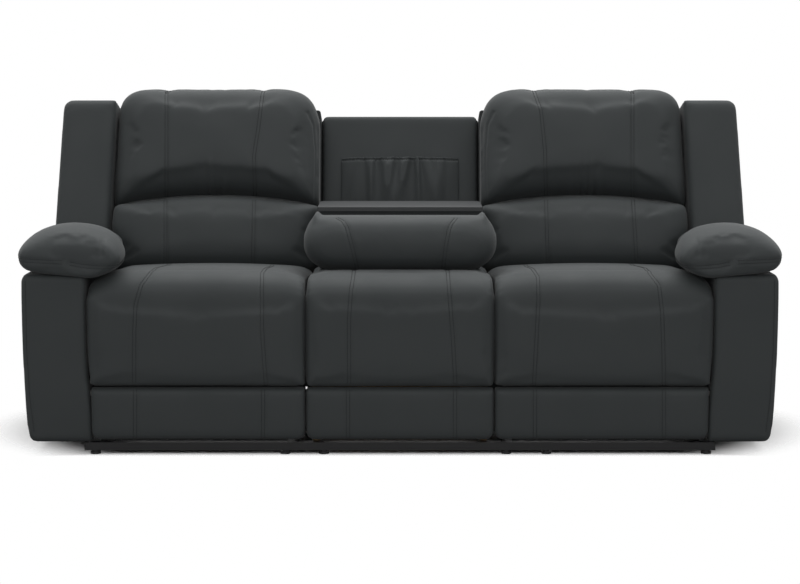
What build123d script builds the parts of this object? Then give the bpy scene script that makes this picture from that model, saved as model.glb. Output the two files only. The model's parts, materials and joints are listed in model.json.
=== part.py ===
"""Three-place reclining sofa whose centre back folds down into a console.

Millimetres. X runs across the sofa, Y from front to back, Z up. The origin is on the floor under
the middle of the sofa's box. "Left" and "right" are as seen from the front, and every piece that
the two recliners share is made by one function that takes the side, -1 or +1.
"""
import math
import os

from build123d import *

os.makedirs("parts", exist_ok=True)

# ---- overall sizes ----
sofa_width = 2104.0            # over the two arm pads
pad_overhang = 16.0            # arm pad beyond the arm's outer face
arm_width = 172.0
centre_seat_width = 516.0
seat_gap = 4.0                 # between neighbouring seats
side_gap = 2.0                 # between a seat and the arm bracket beside it

# ---- steel base ----
foot_height = 11.0
foot_radius = 14.0
foot_neck_radius = 9.0
foot_neck_height = 4.0
foot_from_rail_end = (29.0, 24.0)      # outermost feet, left and right
foot_from_seat_joint = (60.0, -47.0, 37.0, 148.0)  # the four middle feet
rail_height = 22.0
rail_depth = 25.0
rail_wall = 1.5
rail_reach = 10.0              # rail end beyond the arm's inner face
front_rail_at = 28.0           # front face of the front rail, behind the seat fronts
rear_rail_inset = 115.0        # rear rail's front face, before the arm's rear

# ---- mechanism of a recliner ----
mechanism_inset = 37.0         # side plate from the seat's side
plate = 4.0                    # steel plate thickness
layer_gap = 0.5                # between neighbouring plates
pivot_radius = 6.0
pivot_fit = 0.05               # running clearance on the radius
open_fit = 0.6                 # clearance of the pivot where the linkage is left open
head_radius = 9.0
head_height = 2.0
tube_radius = 12.7
tube_bore = 10.5
bar_width = 24.0
flange_width = 23.0
flange_thickness = 3.0
footrest_swing = 82.0          # degrees
back_swing = 26.0
crank_offset = (115.0, -125.0)  # from the footrest pivot to the drive tube, back and up
link_drop = (22.0, -165.0)     # from the footrest pivot to the link pivot on its bracket

# ---- seats ----
seat_front_top = 498.0         # top of the rolled front edge
seat_crest = 506.0
seat_crest_at = 135.0
seat_back_top = 466.0
seat_back_at = 530.0
roll_radius = 70.0
pad_thickness = 45.0
roll_gap = 0.6                 # between the rolled edge and the seat cushion
roll_end_angle = 75.0          # where the roll stops, from straight back
centre_crest = 498.0
centre_level = 473.0           # flat part that the folded console lies over
frame_top = 400.0
frame_board = 69.0
board_thickness = 25.0
frame_front = 150.0
frame_back = 555.0
panel_foot = 43.0              # bottom of the lower front panel
lower_panel_height = 145.0
panel_seam = 2.0
front_board = 15.0
side_board = 20.0              # side board of the centre seat
soft_round = 22.0
spring_wire = 1.9
spring_half_wave = 22.0
spring_lead = 16.0             # straight wire before the first bend
spring_turns = 5
springs_per_seat = 4

# ---- backs ----
rake = 14.0                    # degrees
face_foot_at = 555.0           # foot of the back's face, behind the seat fronts
face_foot_height = 455.0
back_height = 568.0            # along the rake, to the top of the head pillow
back_inner = 245.0             # inner side of a recliner's back, from the middle
back_outer_top = 855.0
back_outer_low = 868.0
pillow_corner = 70.0
pillow_ends = 205.0            # height of the arched seam at its ends, along the rake
pillow_arch = 238.0            # and in the middle
cushion_depth = 165.0
lumbar_swell = 20.0
lumbar_foot = 5.0
lumbar_shoulder = ((60.0, -40.0), (75.0, 24.0), (310.0, 300.0))  # cut that clears the arm pad
frame_depth = 68.0
rear_depth = 37.0
stile_width = 40.0
back_frame_top = 500.0
back_frame_foot = -120.0
rear_top = 530.0
rear_foot = -250.0
back_pivot = (600.0, 372.0)

# ---- wings and arms ----
wing_gap = 13.0
wing_top = 514.0               # along the rake
wing_front = 5.0               # behind the backs' face plane
wing_depth = 190.0
wing_lean = 26.0               # how far the outer side leans in at the top
wing_foot = 20.0
wing_corner = 30.0
wing_edge = 12.0
arm_bottom = 42.0
arm_top = 500.0
arm_wall = 10.0
arm_front = 6.0
arm_length = 854.0
arm_tuck = 20.0                # how far the outer side tucks in at the bottom
arm_tuck_height = 260.0        # up to where it tucks in
arm_panel = 18.0
pad_top = 634.0
pad_front = 2.0
pad_rear_gap = 1.5             # to the back cushion and to the wing
pad_inner_reach = 101.0        # pad beyond the arm's inner face
pad_clear = 13.0               # over the seat
beyond = 400.0                 # a cut's reach past the piece it trims
bracket_width = 60.0
bracket_height = 170.0
bracket_plate = 4.0
bolt_radius = 5.0
bolt_head = 8.0

# ---- centre back and console ----
recess_half = 236.0
recess_face = 210.0            # recess panel behind the backs' face plane
recess_pad = 20.0
recess_board = 18.0
recess_top = 515.0
pocket_half = 184.0
pocket_foot = 195.0
pocket_top = 385.0
pocket_wall = 4.0
pocket_gap = 20.0
console_half = 241.0
console_pivot = (581.0, 500.0)
console_rear_at = 628.0
console_swing = 90.0 + rake
tray_top = 660.0
tray_thickness = 13.0
tray_front_at = 390.0
tray_corner = 25.0
console_board = 24.0
board_inset = 4.0
lumbar_bottom = 474.0
head_front_at = 135.0
head_rear_at = 388.0
head_top = 643.0
head_bottom = 482.0
head_round = 72.0
notch_at = 540.0               # the console is narrower behind this, beside its hinge
notch_half = 210.0
hinge_plate = 4.0
hinge_bar = 30.0

# ---- release handles ----
cup_at = 246.0
cup_length = 118.0
cup_bottom = 323.0
cup_height = 54.0
cup_depth = 30.0
cup_wall = 3.0
cup_rim = 6.0
cup_rim_thickness = 3.0
paddle_length = 76.0
paddle_thickness = 9.0
paddle_gap = 1.0
paddle_pin = 2.5
cable_radius = 3.0
cable_turn_x = 66.0
cable_height = 37.0

# ---- places worked out from these sizes ----
rake_sin = math.sin(math.radians(rake))
rake_cos = math.cos(math.radians(rake))
back_thickness = cushion_depth + frame_depth + rear_depth
overall_depth = face_foot_at + rear_top * rake_sin + back_thickness * rake_cos
front_y = -overall_depth / 2
pad_outer = sofa_width / 2
arm_outer = pad_outer - pad_overhang
arm_inner = arm_outer - arm_width
centre_half = centre_seat_width / 2
seat_outer = arm_inner - bracket_plate - side_gap
seat_inner = centre_half + seat_gap
seat_middle = (seat_outer + seat_inner) / 2
mechanism_half = (seat_outer - seat_inner) / 2 - mechanism_inset
rear_rail_at = arm_front + arm_length - rear_rail_inset
rail_top = foot_height + rail_height
rail_half = arm_inner + rail_reach
front_feet_x = (-rail_half + foot_from_rail_end[0], -centre_half - foot_from_seat_joint[0],
                -centre_half - foot_from_seat_joint[1], centre_half + foot_from_seat_joint[2],
                centre_half + foot_from_seat_joint[3], rail_half - foot_from_rail_end[1])
frame_bottom = frame_top - frame_board
lower_panel_top = panel_foot + lower_panel_height
upper_panel_foot = lower_panel_top + panel_seam
footrest_pivot = (roll_radius, seat_front_top - roll_radius)
board_at = pad_thickness
bracket_at = board_at + front_board
front_board_top = footrest_pivot[1] - 33
drive_pivot = (footrest_pivot[0] + crank_offset[0], footrest_pivot[1] + crank_offset[1])
bracket_pivot = (footrest_pivot[0] + link_drop[0], footrest_pivot[1] + link_drop[1])
crank_pivot = (drive_pivot[0] + link_drop[0], drive_pivot[1] + link_drop[1])
link_layer = (plate / 2 + layer_gap, plate * 1.5 + layer_gap)
coupler_layer = (link_layer[1] + layer_gap, link_layer[1] + layer_gap + plate)
frame_at = cushion_depth
rear_at = frame_at + frame_depth
side_board_outer = back_inner - 3
side_board_inner = side_board_outer - side_board

SIDES = (("left", -1), ("right", 1))
ENDS = (-1, 1)


def y(depth):
    """Y of a place that lies this far behind the seat fronts."""
    return front_y + depth


def raked(height, thickness):
    """Depth and height of a point given along the rake and behind the backs' face plane."""
    return (face_foot_at + height * rake_sin + thickness * rake_cos,
            face_foot_height + height * rake_cos - thickness * rake_sin)


def rake_plane(thickness):
    """Sketch plane parallel to the backs' face: x across, y up along the rake, normal forwards."""
    depth, height = raked(0, thickness)
    return Plane(origin=(0, y(depth), height), x_dir=(1, 0, 0), z_dir=(0, -rake_cos, rake_sin))


def block(x0, x1, d0, d1, z0, z1, mode=Mode.ADD):
    """Box between two places across, two depths and two heights."""
    with Locations(((x0 + x1) / 2, y((d0 + d1) / 2), (z0 + z1) / 2)):
        Box(abs(x1 - x0), abs(d1 - d0), abs(z1 - z0), mode=mode)


def side_plane(x):
    """Sketch plane seen from the side: its x is Y, its y is Z."""
    return Plane.YZ.offset(x)


def side_point(point):
    return (y(point[0]), point[1])


def side_slab(points, x0, x1, mode=Mode.ADD):
    """Polygon drawn from the side, from one place across to another."""
    with BuildSketch(side_plane(min(x0, x1))) as outline:
        Polygon(*[side_point(p) for p in points], align=None)
    extrude(outline.sketch, amount=abs(x1 - x0), mode=mode)


def side_bar(start, end, width, x0, x1):
    """Link with round ends."""
    middle = ((start[0] + end[0]) / 2, (start[1] + end[1]) / 2)
    with BuildSketch(side_plane(min(x0, x1))) as outline:
        SlotCenterPoint(side_point(middle), side_point(end), width)
    extrude(outline.sketch, amount=abs(x1 - x0))


def side_disc(centre, radius, x0, x1, mode=Mode.ADD):
    """Pin, boss or hole along X."""
    with BuildSketch(side_plane(min(x0, x1))) as outline:
        with Locations(side_point(centre)):
            Circle(radius)
    extrude(outline.sketch, amount=abs(x1 - x0), mode=mode)


def pivot_stud(centre, x_face, outward, reach):
    """Shouldered rivet: a pin that carries a link, and its head outside it."""
    side_disc(centre, pivot_radius, x_face, x_face + outward * reach)
    head_from = x_face + outward * reach
    side_disc(centre, head_radius, head_from, head_from + outward * head_height)


def raked_slab(x0, x1, h0, h1, t0, t1, mode=Mode.ADD):
    """Board that lies along the rake."""
    with BuildSketch(rake_plane(t0)) as outline:
        with Locations(((x0 + x1) / 2, (h0 + h1) / 2)):
            Rectangle(abs(x1 - x0), abs(h1 - h0))
    extrude(outline.sketch, amount=-(t1 - t0), mode=mode)


def board(x0, x1, d0, d1, z0, z1):
    """One upright board or rail, as a piece of its own."""
    with BuildPart() as piece:
        block(x0, x1, d0, d1, z0, z1)
    return piece.part


def raked_board(x0, x1, h0, h1, t0, t1):
    with BuildPart() as piece:
        raked_slab(x0, x1, h0, h1, t0, t1)
    return piece.part


def tube_along_x(x0, x1, d0):
    """Square steel tube of the base, from side to side."""
    with BuildPart() as tube:
        block(x0, x1, d0, d0 + rail_depth, foot_height, rail_top)
        block(x0, x1, d0 + rail_wall, d0 + rail_depth - rail_wall, foot_height + rail_wall,
              rail_top - rail_wall, Mode.SUBTRACT)
    return tube.part


def tube_along_y(x, d0, d1):
    """Square steel tube of the base, from front to back."""
    with BuildPart() as tube:
        block(x - rail_depth / 2, x + rail_depth / 2, d0, d1, foot_height, rail_top)
        block(x - rail_depth / 2 + rail_wall, x + rail_depth / 2 - rail_wall, d0, d1,
              foot_height + rail_wall, rail_top - rail_wall, Mode.SUBTRACT)
    return tube.part


def joined(pieces):
    """Boards that touch at their joints and stay separate solids."""
    return Compound(obj=[solid for piece in pieces for solid in piece.solids()])


def save(piece, name):
    piece.label = name
    export_step(piece, f"parts/{name}.step")


def mechanisms(side):
    """Middle of each side plate of a recliner, and the direction away from the seat's middle."""
    return [(side * seat_middle + end * mechanism_half, end) for end in ENDS]


# ---------------------------------------------------------------- steel base

side_rail_places = [x for _, side in SIDES for x, _ in mechanisms(side)]
side_rail_places += [end * (side_board_inner + side_board_outer) / 2 for end in ENDS]
base_rails = [tube_along_x(-rail_half, rail_half, rail_at)
              for rail_at in (front_rail_at, rear_rail_at)]
base_rails += [tube_along_y(x, front_rail_at + rail_depth, rear_rail_at)
               for x in side_rail_places]
save(joined(base_rails), "base_rails")

with BuildPart() as glide_feet:
    disc_height = foot_height - foot_neck_height
    for rail_at in (front_rail_at, rear_rail_at):
        places = [(x, y(rail_at + rail_depth / 2)) for x in front_feet_x]
        with BuildSketch(Plane.XY):
            with Locations(*places):
                Circle(foot_radius)
        extrude(amount=disc_height)
        with BuildSketch(Plane.XY.offset(disc_height)):
            with Locations(*places):
                Circle(foot_neck_radius)
        extrude(amount=foot_neck_height)
save(glide_feet.part, "glide_feet")

# ---------------------------------------------------------------- arms and wings

bracket_places = (front_rail_at - (bracket_width - rail_depth) / 2 + 17,
                  rear_rail_at - (bracket_width - rail_depth) / 2)
bolt_heights = (arm_bottom + 45, arm_bottom + 125)

with BuildPart() as arm_brackets:
    for side in ENDS:
        for place in bracket_places:
            block(side * (arm_inner - bracket_plate), side * arm_inner, place,
                  place + bracket_width, rail_top, rail_top + bracket_height)
            for height in bolt_heights:
                side_disc((place + bracket_width / 2, height), bolt_radius,
                          side * (arm_inner - bracket_plate), side * arm_inner, Mode.SUBTRACT)
save(arm_brackets.part, "arm_brackets")

inner_panel_from = arm_inner + arm_wall
with BuildPart() as arm_bolts:
    for side in ENDS:
        for place in bracket_places:
            for height in bolt_heights:
                centre = (place + bracket_width / 2, height)
                face = arm_inner - bracket_plate
                side_disc(centre, bolt_radius, side * face,
                          side * (inner_panel_from + arm_panel))
                side_disc(centre, bolt_head, side * face, side * (face - side_gap))
save(arm_bolts.part, "arm_bolts")

outer_panel_from = arm_outer - cup_depth - arm_panel - 3


def arm_frame(side):
    """Two long boards, two end boards and a top board, screwed together inside the arm."""
    front = arm_front + arm_wall
    rear = arm_front + arm_length - arm_wall
    foot = arm_bottom + 12
    top = arm_top - arm_wall
    low_x = side * inner_panel_from
    high_x = side * (outer_panel_from + arm_panel)
    with BuildPart() as inner_board:
        block(low_x, side * (inner_panel_from + arm_panel), front + arm_panel, rear - arm_panel,
              foot, top - arm_panel)
        for place in bracket_places:
            for height in bolt_heights:
                side_disc((place + bracket_width / 2, height), bolt_radius, low_x,
                          side * (inner_panel_from + arm_panel), Mode.SUBTRACT)
    with BuildPart() as outer_board:
        block(side * outer_panel_from, high_x, front + arm_panel, rear - arm_panel, foot,
              top - arm_panel)
        side_disc((cup_at + cup_length / 2, cup_bottom + cup_height / 2), cable_radius * 2,
                  side * outer_panel_from, high_x, Mode.SUBTRACT)
    return [inner_board.part, outer_board.part,
            board(low_x, high_x, front, front + arm_panel, foot, top),
            board(low_x, high_x, rear - arm_panel, rear, foot, top),
            board(low_x, high_x, front + arm_panel, rear - arm_panel, top - arm_panel, top)]


save(joined([piece for end in ENDS for piece in arm_frame(end)]), "arm_frames")


def arm_outline(side, shell):
    """Cross section of an arm, set in by the wall of the cover where that is its inside."""
    inset = arm_wall if shell else 0
    foot = arm_bottom - (1 if shell else 0)
    top = arm_top - inset
    outer = arm_outer - inset
    shoulder = arm_bottom + arm_tuck_height
    with BuildLine() as outline:
        straight = Polyline((side * (arm_inner + inset), foot), (side * (arm_inner + inset), top),
                            (side * outer, top), (side * outer, shoulder))
        tuck = ThreePointArc(straight @ 1, (side * (outer - arm_tuck * 0.25),
                                            foot + (shoulder - foot) / 2),
                             (side * (outer - arm_tuck), foot))
        Line(tuck @ 1, straight @ 0)
    make_face(outline.edges())


def arm_cover(side):
    with BuildPart() as cover:
        with BuildSketch(Plane.XZ.offset(-y(arm_front))):
            arm_outline(side, False)
        extrude(amount=-arm_length)
        fillet(cover.edges().filter_by(Axis.Y).group_by(Axis.Z)[-1].sort_by(Axis.X)[
            -1 if side > 0 else 0], soft_round)
        with BuildSketch(Plane.XZ.offset(-y(arm_front + arm_wall))):
            arm_outline(side, True)
        extrude(amount=-(arm_length - 2 * arm_wall), mode=Mode.SUBTRACT)
        block(side * (arm_outer - arm_wall - 5), side * (arm_outer + 5), cup_at, cup_at + cup_length,
              cup_bottom, cup_bottom + cup_height, Mode.SUBTRACT)
        for place in bracket_places:
            for height in bolt_heights:
                side_disc((place + bracket_width / 2, height), bolt_radius, side * arm_inner,
                          side * inner_panel_from, Mode.SUBTRACT)
    return cover.part


def arm_pad(side):
    """Fat pillow on top of the arm, which hangs over its inner side."""
    inner = arm_inner - pad_inner_reach
    middle = (pad_outer + inner) / 2
    shoulder = pad_top - 20
    with BuildPart() as pad:
        with BuildSketch(Plane.XZ.offset(-y(pad_front))):
            with BuildLine():
                under = Polyline((side * (inner + 22), arm_top + pad_clear),
                                 (side * (arm_inner - 4), arm_top + pad_clear),
                                 (side * (arm_inner + 4), arm_top),
                                 (side * (arm_outer - 4), arm_top))
                outside = ThreePointArc(under @ 1, (side * pad_outer, arm_top + 52),
                                        (side * (pad_outer - 42), shoulder))
                over = ThreePointArc(outside @ 1, (side * middle, pad_top),
                                     (side * (inner + 36), shoulder - 4))
                ThreePointArc(over @ 1, (side * inner, arm_top + 58), under @ 0)
            make_face()
        extrude(amount=-(face_foot_at + 90))
        fillet(pad.faces().sort_by(Axis.Y)[0].edges(), soft_round)
        lumbar_side = back_outer_low + 3
        raked_slab(side * (inner - pad_overhang), side * lumbar_side, -beyond, beyond,
                   -lumbar_swell - pad_rear_gap, beyond, Mode.SUBTRACT)
        raked_slab(side * lumbar_side, side * (pad_outer + pad_overhang), -beyond, beyond,
                   wing_front - pad_rear_gap, beyond, Mode.SUBTRACT)
    return pad.part


def wing(side):
    """Side wing that stands on the rear of the arm, beside the back."""
    inner_top = back_outer_top + wing_gap
    inner_low = back_outer_low + wing_gap + 3
    foot = wing_foot
    with BuildPart() as panel:
        with BuildSketch(rake_plane(wing_front)):
            with BuildLine():
                Polyline((side * inner_low, foot), (side * inner_top, wing_top),
                         (side * (arm_outer - wing_lean), wing_top), (side * arm_outer, foot),
                         close=True)
            make_face()
            fillet(vertices().group_by(Axis.Y)[-1].sort_by(Axis.X)[-1 if side > 0 else 0], wing_corner)
        extrude(amount=-wing_depth)
        fillet(panel.faces().sort_by(Axis.Y)[0].edges().filter_by(
            lambda e: e.center().Z > arm_top + 60), wing_edge)
        block(side * (inner_top - wing_gap), side * (arm_outer + wing_gap),
              face_foot_at - beyond, face_foot_at + beyond, arm_top - beyond, arm_top,
              Mode.SUBTRACT)
    return panel.part


def release_cup(side):
    """Oblong cup set into the arm's outer side, with the handle inside it."""
    back = arm_outer - cup_depth
    with BuildPart() as cup:
        block(side * back, side * arm_outer, cup_at, cup_at + cup_length, cup_bottom,
              cup_bottom + cup_height)
        block(side * arm_outer, side * (arm_outer + cup_rim_thickness), cup_at - cup_rim,
              cup_at + cup_length + cup_rim, cup_bottom - cup_rim,
              cup_bottom + cup_height + cup_rim)
        fillet(cup.faces().sort_by(Axis.X)[-1 if side > 0 else 0].edges(), 1.2)
        block(side * (back + cup_wall), side * (arm_outer + cup_rim_thickness),
              cup_at + cup_wall, cup_at + cup_length - cup_wall, cup_bottom + cup_wall,
              cup_bottom + cup_height - cup_wall, Mode.SUBTRACT)
        with BuildSketch(Plane.XY.offset(cup_bottom)):
            with Locations((side * handle_axis_x, y(handle_axis_at))):
                Circle(paddle_pin + pivot_fit)
        extrude(amount=cup_height, mode=Mode.SUBTRACT)
    return cup.part


handle_axis_at = cup_at + cup_wall + paddle_gap + paddle_thickness / 2
handle_axis_x = arm_outer - paddle_thickness / 2


def release_handle(side):
    """Paddle on an upright pin: its free end swings outwards."""
    low = cup_bottom + cup_wall + paddle_gap
    high = cup_bottom + cup_height - cup_wall - paddle_gap
    centre = (side * handle_axis_x, y(handle_axis_at))
    with BuildPart() as paddle:
        with BuildSketch(Plane.XY.offset(low)):
            with Locations(centre):
                Circle(paddle_thickness / 2)
            with Locations((centre[0], centre[1] + paddle_length / 2)):
                Rectangle(paddle_thickness, paddle_length)
        extrude(amount=high - low)
        pin_foot = cup_bottom + paddle_gap
        with BuildSketch(Plane.XY.offset(pin_foot)):
            with Locations(centre):
                Circle(paddle_pin)
        extrude(amount=cup_height - 2 * paddle_gap)
    return paddle.part


for name, side in SIDES:
    save(arm_cover(side), f"{name}_arm_cover")
    save(arm_pad(side), f"{name}_arm_pad")
    save(wing(side), f"{name}_wing")
    save(release_handle(side), f"{name}_release_handle")

with BuildPart() as release_cups:
    for side in ENDS:
        add(release_cup(side))
save(release_cups.part, "release_cups")

cable_from = (arm_outer - cup_depth, cup_at + cup_length / 2, cup_bottom + cup_height / 2)
cable_to_x = seat_middle + mechanism_half + plate / 2
with BuildPart() as release_cables:
    for side in ENDS:
        turn_x = cable_from[0] - cable_turn_x
        points = [(side * cable_from[0], y(cable_from[1]), cable_from[2]),
                  (side * turn_x, y(cable_from[1]), cable_from[2]),
                  (side * turn_x, y(cable_from[1]), cable_height),
                  (side * cable_to_x, y(cable_from[1]), cable_height)]
        with BuildLine() as cable_route:
            FilletPolyline(*points, radius=cable_turn_x * 0.45)
        with BuildSketch(Plane(origin=points[0], z_dir=(-side, 0, 0))):
            Circle(cable_radius)
        sweep(path=cable_route.wires()[0])
save(release_cables.part, "release_cables")

# ---------------------------------------------------------------- soft parts of the seats


def lower_panel(x0, x1):
    with BuildPart() as panel:
        block(x0, x1, 0, pad_thickness, panel_foot, lower_panel_top)
        fillet(panel.edges().filter_by(Axis.Z).group_by(Axis.Y)[0], soft_round)
        fillet(panel.edges().filter_by(Axis.X).group_by(Axis.Y)[0], 6)
    return panel.part


def upper_panel(x0, x1):
    """Upper front panel, which turns back over the front edge as a roll about its pivot."""
    pivot = side_point(footrest_pivot)
    end_x = math.cos(math.radians(roll_end_angle))
    end_z = math.sin(math.radians(roll_end_angle))
    inner_radius = roll_radius - pad_thickness
    half = math.radians(90 + roll_end_angle / 2)

    def on_roll(radius, angle):
        return (pivot[0] + radius * math.cos(angle), pivot[1] + radius * math.sin(angle))

    with BuildPart() as panel:
        with BuildSketch(side_plane(min(x0, x1))):
            with BuildLine():
                front = Line((y(0), upper_panel_foot), (y(0), footrest_pivot[1]))
                outer = ThreePointArc(front @ 1, on_roll(roll_radius, half),
                                      (pivot[0] + roll_radius * end_x,
                                       pivot[1] + roll_radius * end_z))
                end = Line(outer @ 1, (pivot[0] + inner_radius * end_x,
                                       pivot[1] + inner_radius * end_z))
                inner = ThreePointArc(end @ 1, on_roll(inner_radius, half),
                                      (y(pad_thickness), footrest_pivot[1]))
                Polyline(inner @ 1, (y(pad_thickness), upper_panel_foot), front @ 0)
            make_face()
        extrude(amount=abs(x1 - x0))
        fillet(panel.edges().filter_by(Axis.Z).group_by(Axis.Y)[0], soft_round)
    return panel.part


def seat_cushion(x0, x1, crest, crest_at, level, level_at):
    """Cushion whose front end is hollowed to clear the roll, and whose top falls to the back."""
    gap_radius = roll_radius + roll_gap
    pivot_d, pivot_z = footrest_pivot
    start_d = pivot_d + gap_radius * math.cos(math.radians(roll_end_angle - 3))
    start_z = pivot_z + gap_radius * math.sin(math.radians(roll_end_angle - 3))
    foot_d = pivot_d + math.sqrt(gap_radius ** 2 - (pivot_z - frame_top) ** 2)
    mid_angle = math.radians(20)
    middle = (pivot_d + gap_radius * math.cos(mid_angle), pivot_z + gap_radius * math.sin(mid_angle))
    with BuildPart() as cushion:
        with BuildSketch(side_plane(min(x0, x1))):
            with BuildLine():
                hollow = ThreePointArc(side_point((foot_d, frame_top)), side_point(middle),
                                       side_point((start_d, start_z)))
                Polyline(hollow @ 1, side_point((crest_at, crest)),
                         side_point((level_at, level)),
                         side_point((seat_back_at, min(level, seat_back_top))),
                         side_point((seat_back_at, frame_top)), hollow @ 0)
            make_face()
        extrude(amount=abs(x1 - x0))
        fillet(cushion.edges().filter_by(Axis.X).group_by(Axis.Z)[-1], 40)
    return cushion.part


def sinuous_spring(x):
    """Zigzag wire from the front rail to the rear rail of a seat frame."""
    front = frame_front + board_thickness
    rear = frame_back - board_thickness
    height = frame_top - spring_wire * 3
    pitch = (rear - front - 2 * spring_lead) / (spring_turns * 2)
    points = [(x, y(front), height), (x, y(front + spring_lead / 2), height)]
    for step in range(spring_turns * 2):
        depth = front + spring_lead + pitch * step
        wave = spring_half_wave * (1 if step % 2 else -1)
        points.append((x + wave, y(depth + pitch * 0.1), height))
        points.append((x + wave, y(depth + pitch * 0.9), height))
    points += [(x, y(rear - spring_lead / 2), height), (x, y(rear), height)]
    with BuildPart() as spring:
        with BuildLine() as wire:
            FilletPolyline(*points, radius=pitch * 0.3)
        route = wire.wires()[0]
        with BuildSketch(Plane(origin=route @ 0, z_dir=route % 0)):
            Circle(spring_wire)
        sweep(path=route)
    return spring.part


def sinuous_springs(middle):
    spacing = 2 * mechanism_half / (springs_per_seat + 1)
    return joined([sinuous_spring(middle + (number - (springs_per_seat - 1) / 2) * spacing)
                   for number in range(springs_per_seat)])


# ---------------------------------------------------------------- recliner seats


def seat_frame(side):
    (x_low, _), (x_high, _) = mechanisms(side)
    left = x_low - 1
    right = x_high + 1
    pieces = [board(x0, x1, frame_front, frame_back, frame_bottom, frame_top)
              for x0, x1 in ((left, left + board_thickness), (right - board_thickness, right))]
    pieces += [board(left + board_thickness, right - board_thickness, d0, d0 + board_thickness,
                     frame_bottom, frame_top)
               for d0 in (frame_front, frame_back - board_thickness)]
    return joined(pieces)


def mechanism_plates(side):
    """Side plates flanged to the base rail and to the seat frame, with the pivot studs."""
    plate_top = frame_bottom - flange_thickness
    with BuildPart() as plates:
        for x, outward in mechanisms(side):
            inner = x - outward * plate / 2
            outer = x + outward * plate / 2
            flange_edge = x - outward * flange_width
            side_slab([(frame_front - 20, plate_top), (frame_front + 20, rail_top),
                       (frame_back - 10, rail_top), (frame_back + 20, plate_top)], inner, outer)
            side_bar(footrest_pivot, (frame_front - bar_width / 2, plate_top - bar_width / 2),
                     bar_width, inner, outer)
            side_bar(back_pivot, (frame_back + 2, plate_top - 20), bar_width + 4, inner, outer)
            block(outer, flange_edge, frame_front, frame_back, plate_top, frame_bottom)
            block(outer, x - outward * rail_depth / 2, frame_front + 20, frame_back - 10, rail_top,
                  rail_top + flange_thickness)
            side_disc(drive_pivot, tube_radius + pivot_fit, x - plate, x + plate, Mode.SUBTRACT)
            stud_reach = plate + 2 * layer_gap
            pivot_stud(footrest_pivot, outer, outward, stud_reach)
            pivot_stud(back_pivot, outer, outward, stud_reach)
    return plates.part


def drive_tube(side):
    """Tube across the recliner with a crank at each end."""
    with BuildPart() as drive:
        (x_low, _), (x_high, _) = mechanisms(side)
        side_disc(drive_pivot, tube_radius, x_low - link_layer[1], x_high + link_layer[1])
        for x, outward in mechanisms(side):
            inner = x + outward * link_layer[0]
            outer = x + outward * link_layer[1]
            side_bar(drive_pivot, crank_pivot, bar_width + 6, inner, outer)
            pivot_stud(crank_pivot, outer, outward, plate + 2 * layer_gap)
        side_disc(drive_pivot, tube_bore, x_low - link_layer[1], x_high + link_layer[1],
                  Mode.SUBTRACT)
    return drive.part


def coupler_links(side):
    with BuildPart() as couplers:
        for x, outward in mechanisms(side):
            inner = x + outward * coupler_layer[0]
            outer = x + outward * coupler_layer[1]
            side_bar(crank_pivot, bracket_pivot, bar_width, inner, outer)
            side_disc(crank_pivot, pivot_radius + pivot_fit, inner, outer, Mode.SUBTRACT)
            side_disc(bracket_pivot, pivot_radius + open_fit, inner, outer, Mode.SUBTRACT)
    return couplers.part


def footrest_brackets(side):
    """Angle irons on the footrest board that hang on the front pivots."""
    strip_top = front_board_top
    strip_foot = panel_foot + 47
    strip_back = bracket_at + bar_width
    with BuildPart() as brackets:
        for x, outward in mechanisms(side):
            inner = x + outward * link_layer[0]
            outer = x + outward * link_layer[1]
            side_slab([(bracket_at, strip_foot), (strip_back, strip_foot),
                       (strip_back, strip_top), (bracket_at, strip_top)], inner, outer)
            side_bar(footrest_pivot, (bracket_at + bar_width / 2 + 2, strip_top - 10),
                     bar_width, inner, outer)
            side_bar(bracket_pivot, (bracket_at + bar_width / 2, bracket_pivot[1]), bar_width,
                     inner, outer)
            block(inner - outward * 20, outer, bracket_at, bracket_at + flange_thickness,
                  strip_foot, strip_top)
            side_disc(footrest_pivot, pivot_radius + pivot_fit, inner, outer, Mode.SUBTRACT)
            pivot_stud(bracket_pivot, outer, outward, plate + 2 * layer_gap)
    return brackets.part


def footrest_board(side):
    with BuildPart() as board:
        block(side * (seat_inner + 8), side * (seat_outer - 8), board_at, bracket_at,
              panel_foot + 8, front_board_top)
    return board.part


# ---------------------------------------------------------------- recliner backs


def back_frame(side):
    """Timber frame along the rake: two stiles and three rails."""
    (x_low, _), (x_high, _) = mechanisms(side)
    left = x_low - link_layer[0]
    right = x_high + link_layer[0]
    pieces = [raked_board(x0, x1, back_frame_foot, back_frame_top, frame_at,
                          frame_at + frame_depth)
              for x0, x1 in ((left, left + stile_width), (right - stile_width, right))]
    pieces += [raked_board(left + stile_width, right - stile_width, h0, h0 + stile_width,
                           frame_at, frame_at + frame_depth)
               for h0 in (back_frame_foot + 60, pillow_ends - 5, back_frame_top - stile_width)]
    return joined(pieces)


def back_brackets(side):
    stile_middle = raked(back_frame_foot + 62, frame_at + frame_depth / 2)
    with BuildPart() as brackets:
        for x, outward in mechanisms(side):
            inner = x + outward * link_layer[0]
            outer = x + outward * link_layer[1]
            side_bar(back_pivot, stile_middle, bar_width + 16, inner, outer)
            side_disc(back_pivot, pivot_radius + pivot_fit, inner, outer, Mode.SUBTRACT)
    return brackets.part


def side_at(height, side):
    """Outer side of the back at a height along the rake."""
    share = height / back_height
    return side * (back_outer_low + (back_outer_top - back_outer_low) * share)


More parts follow.
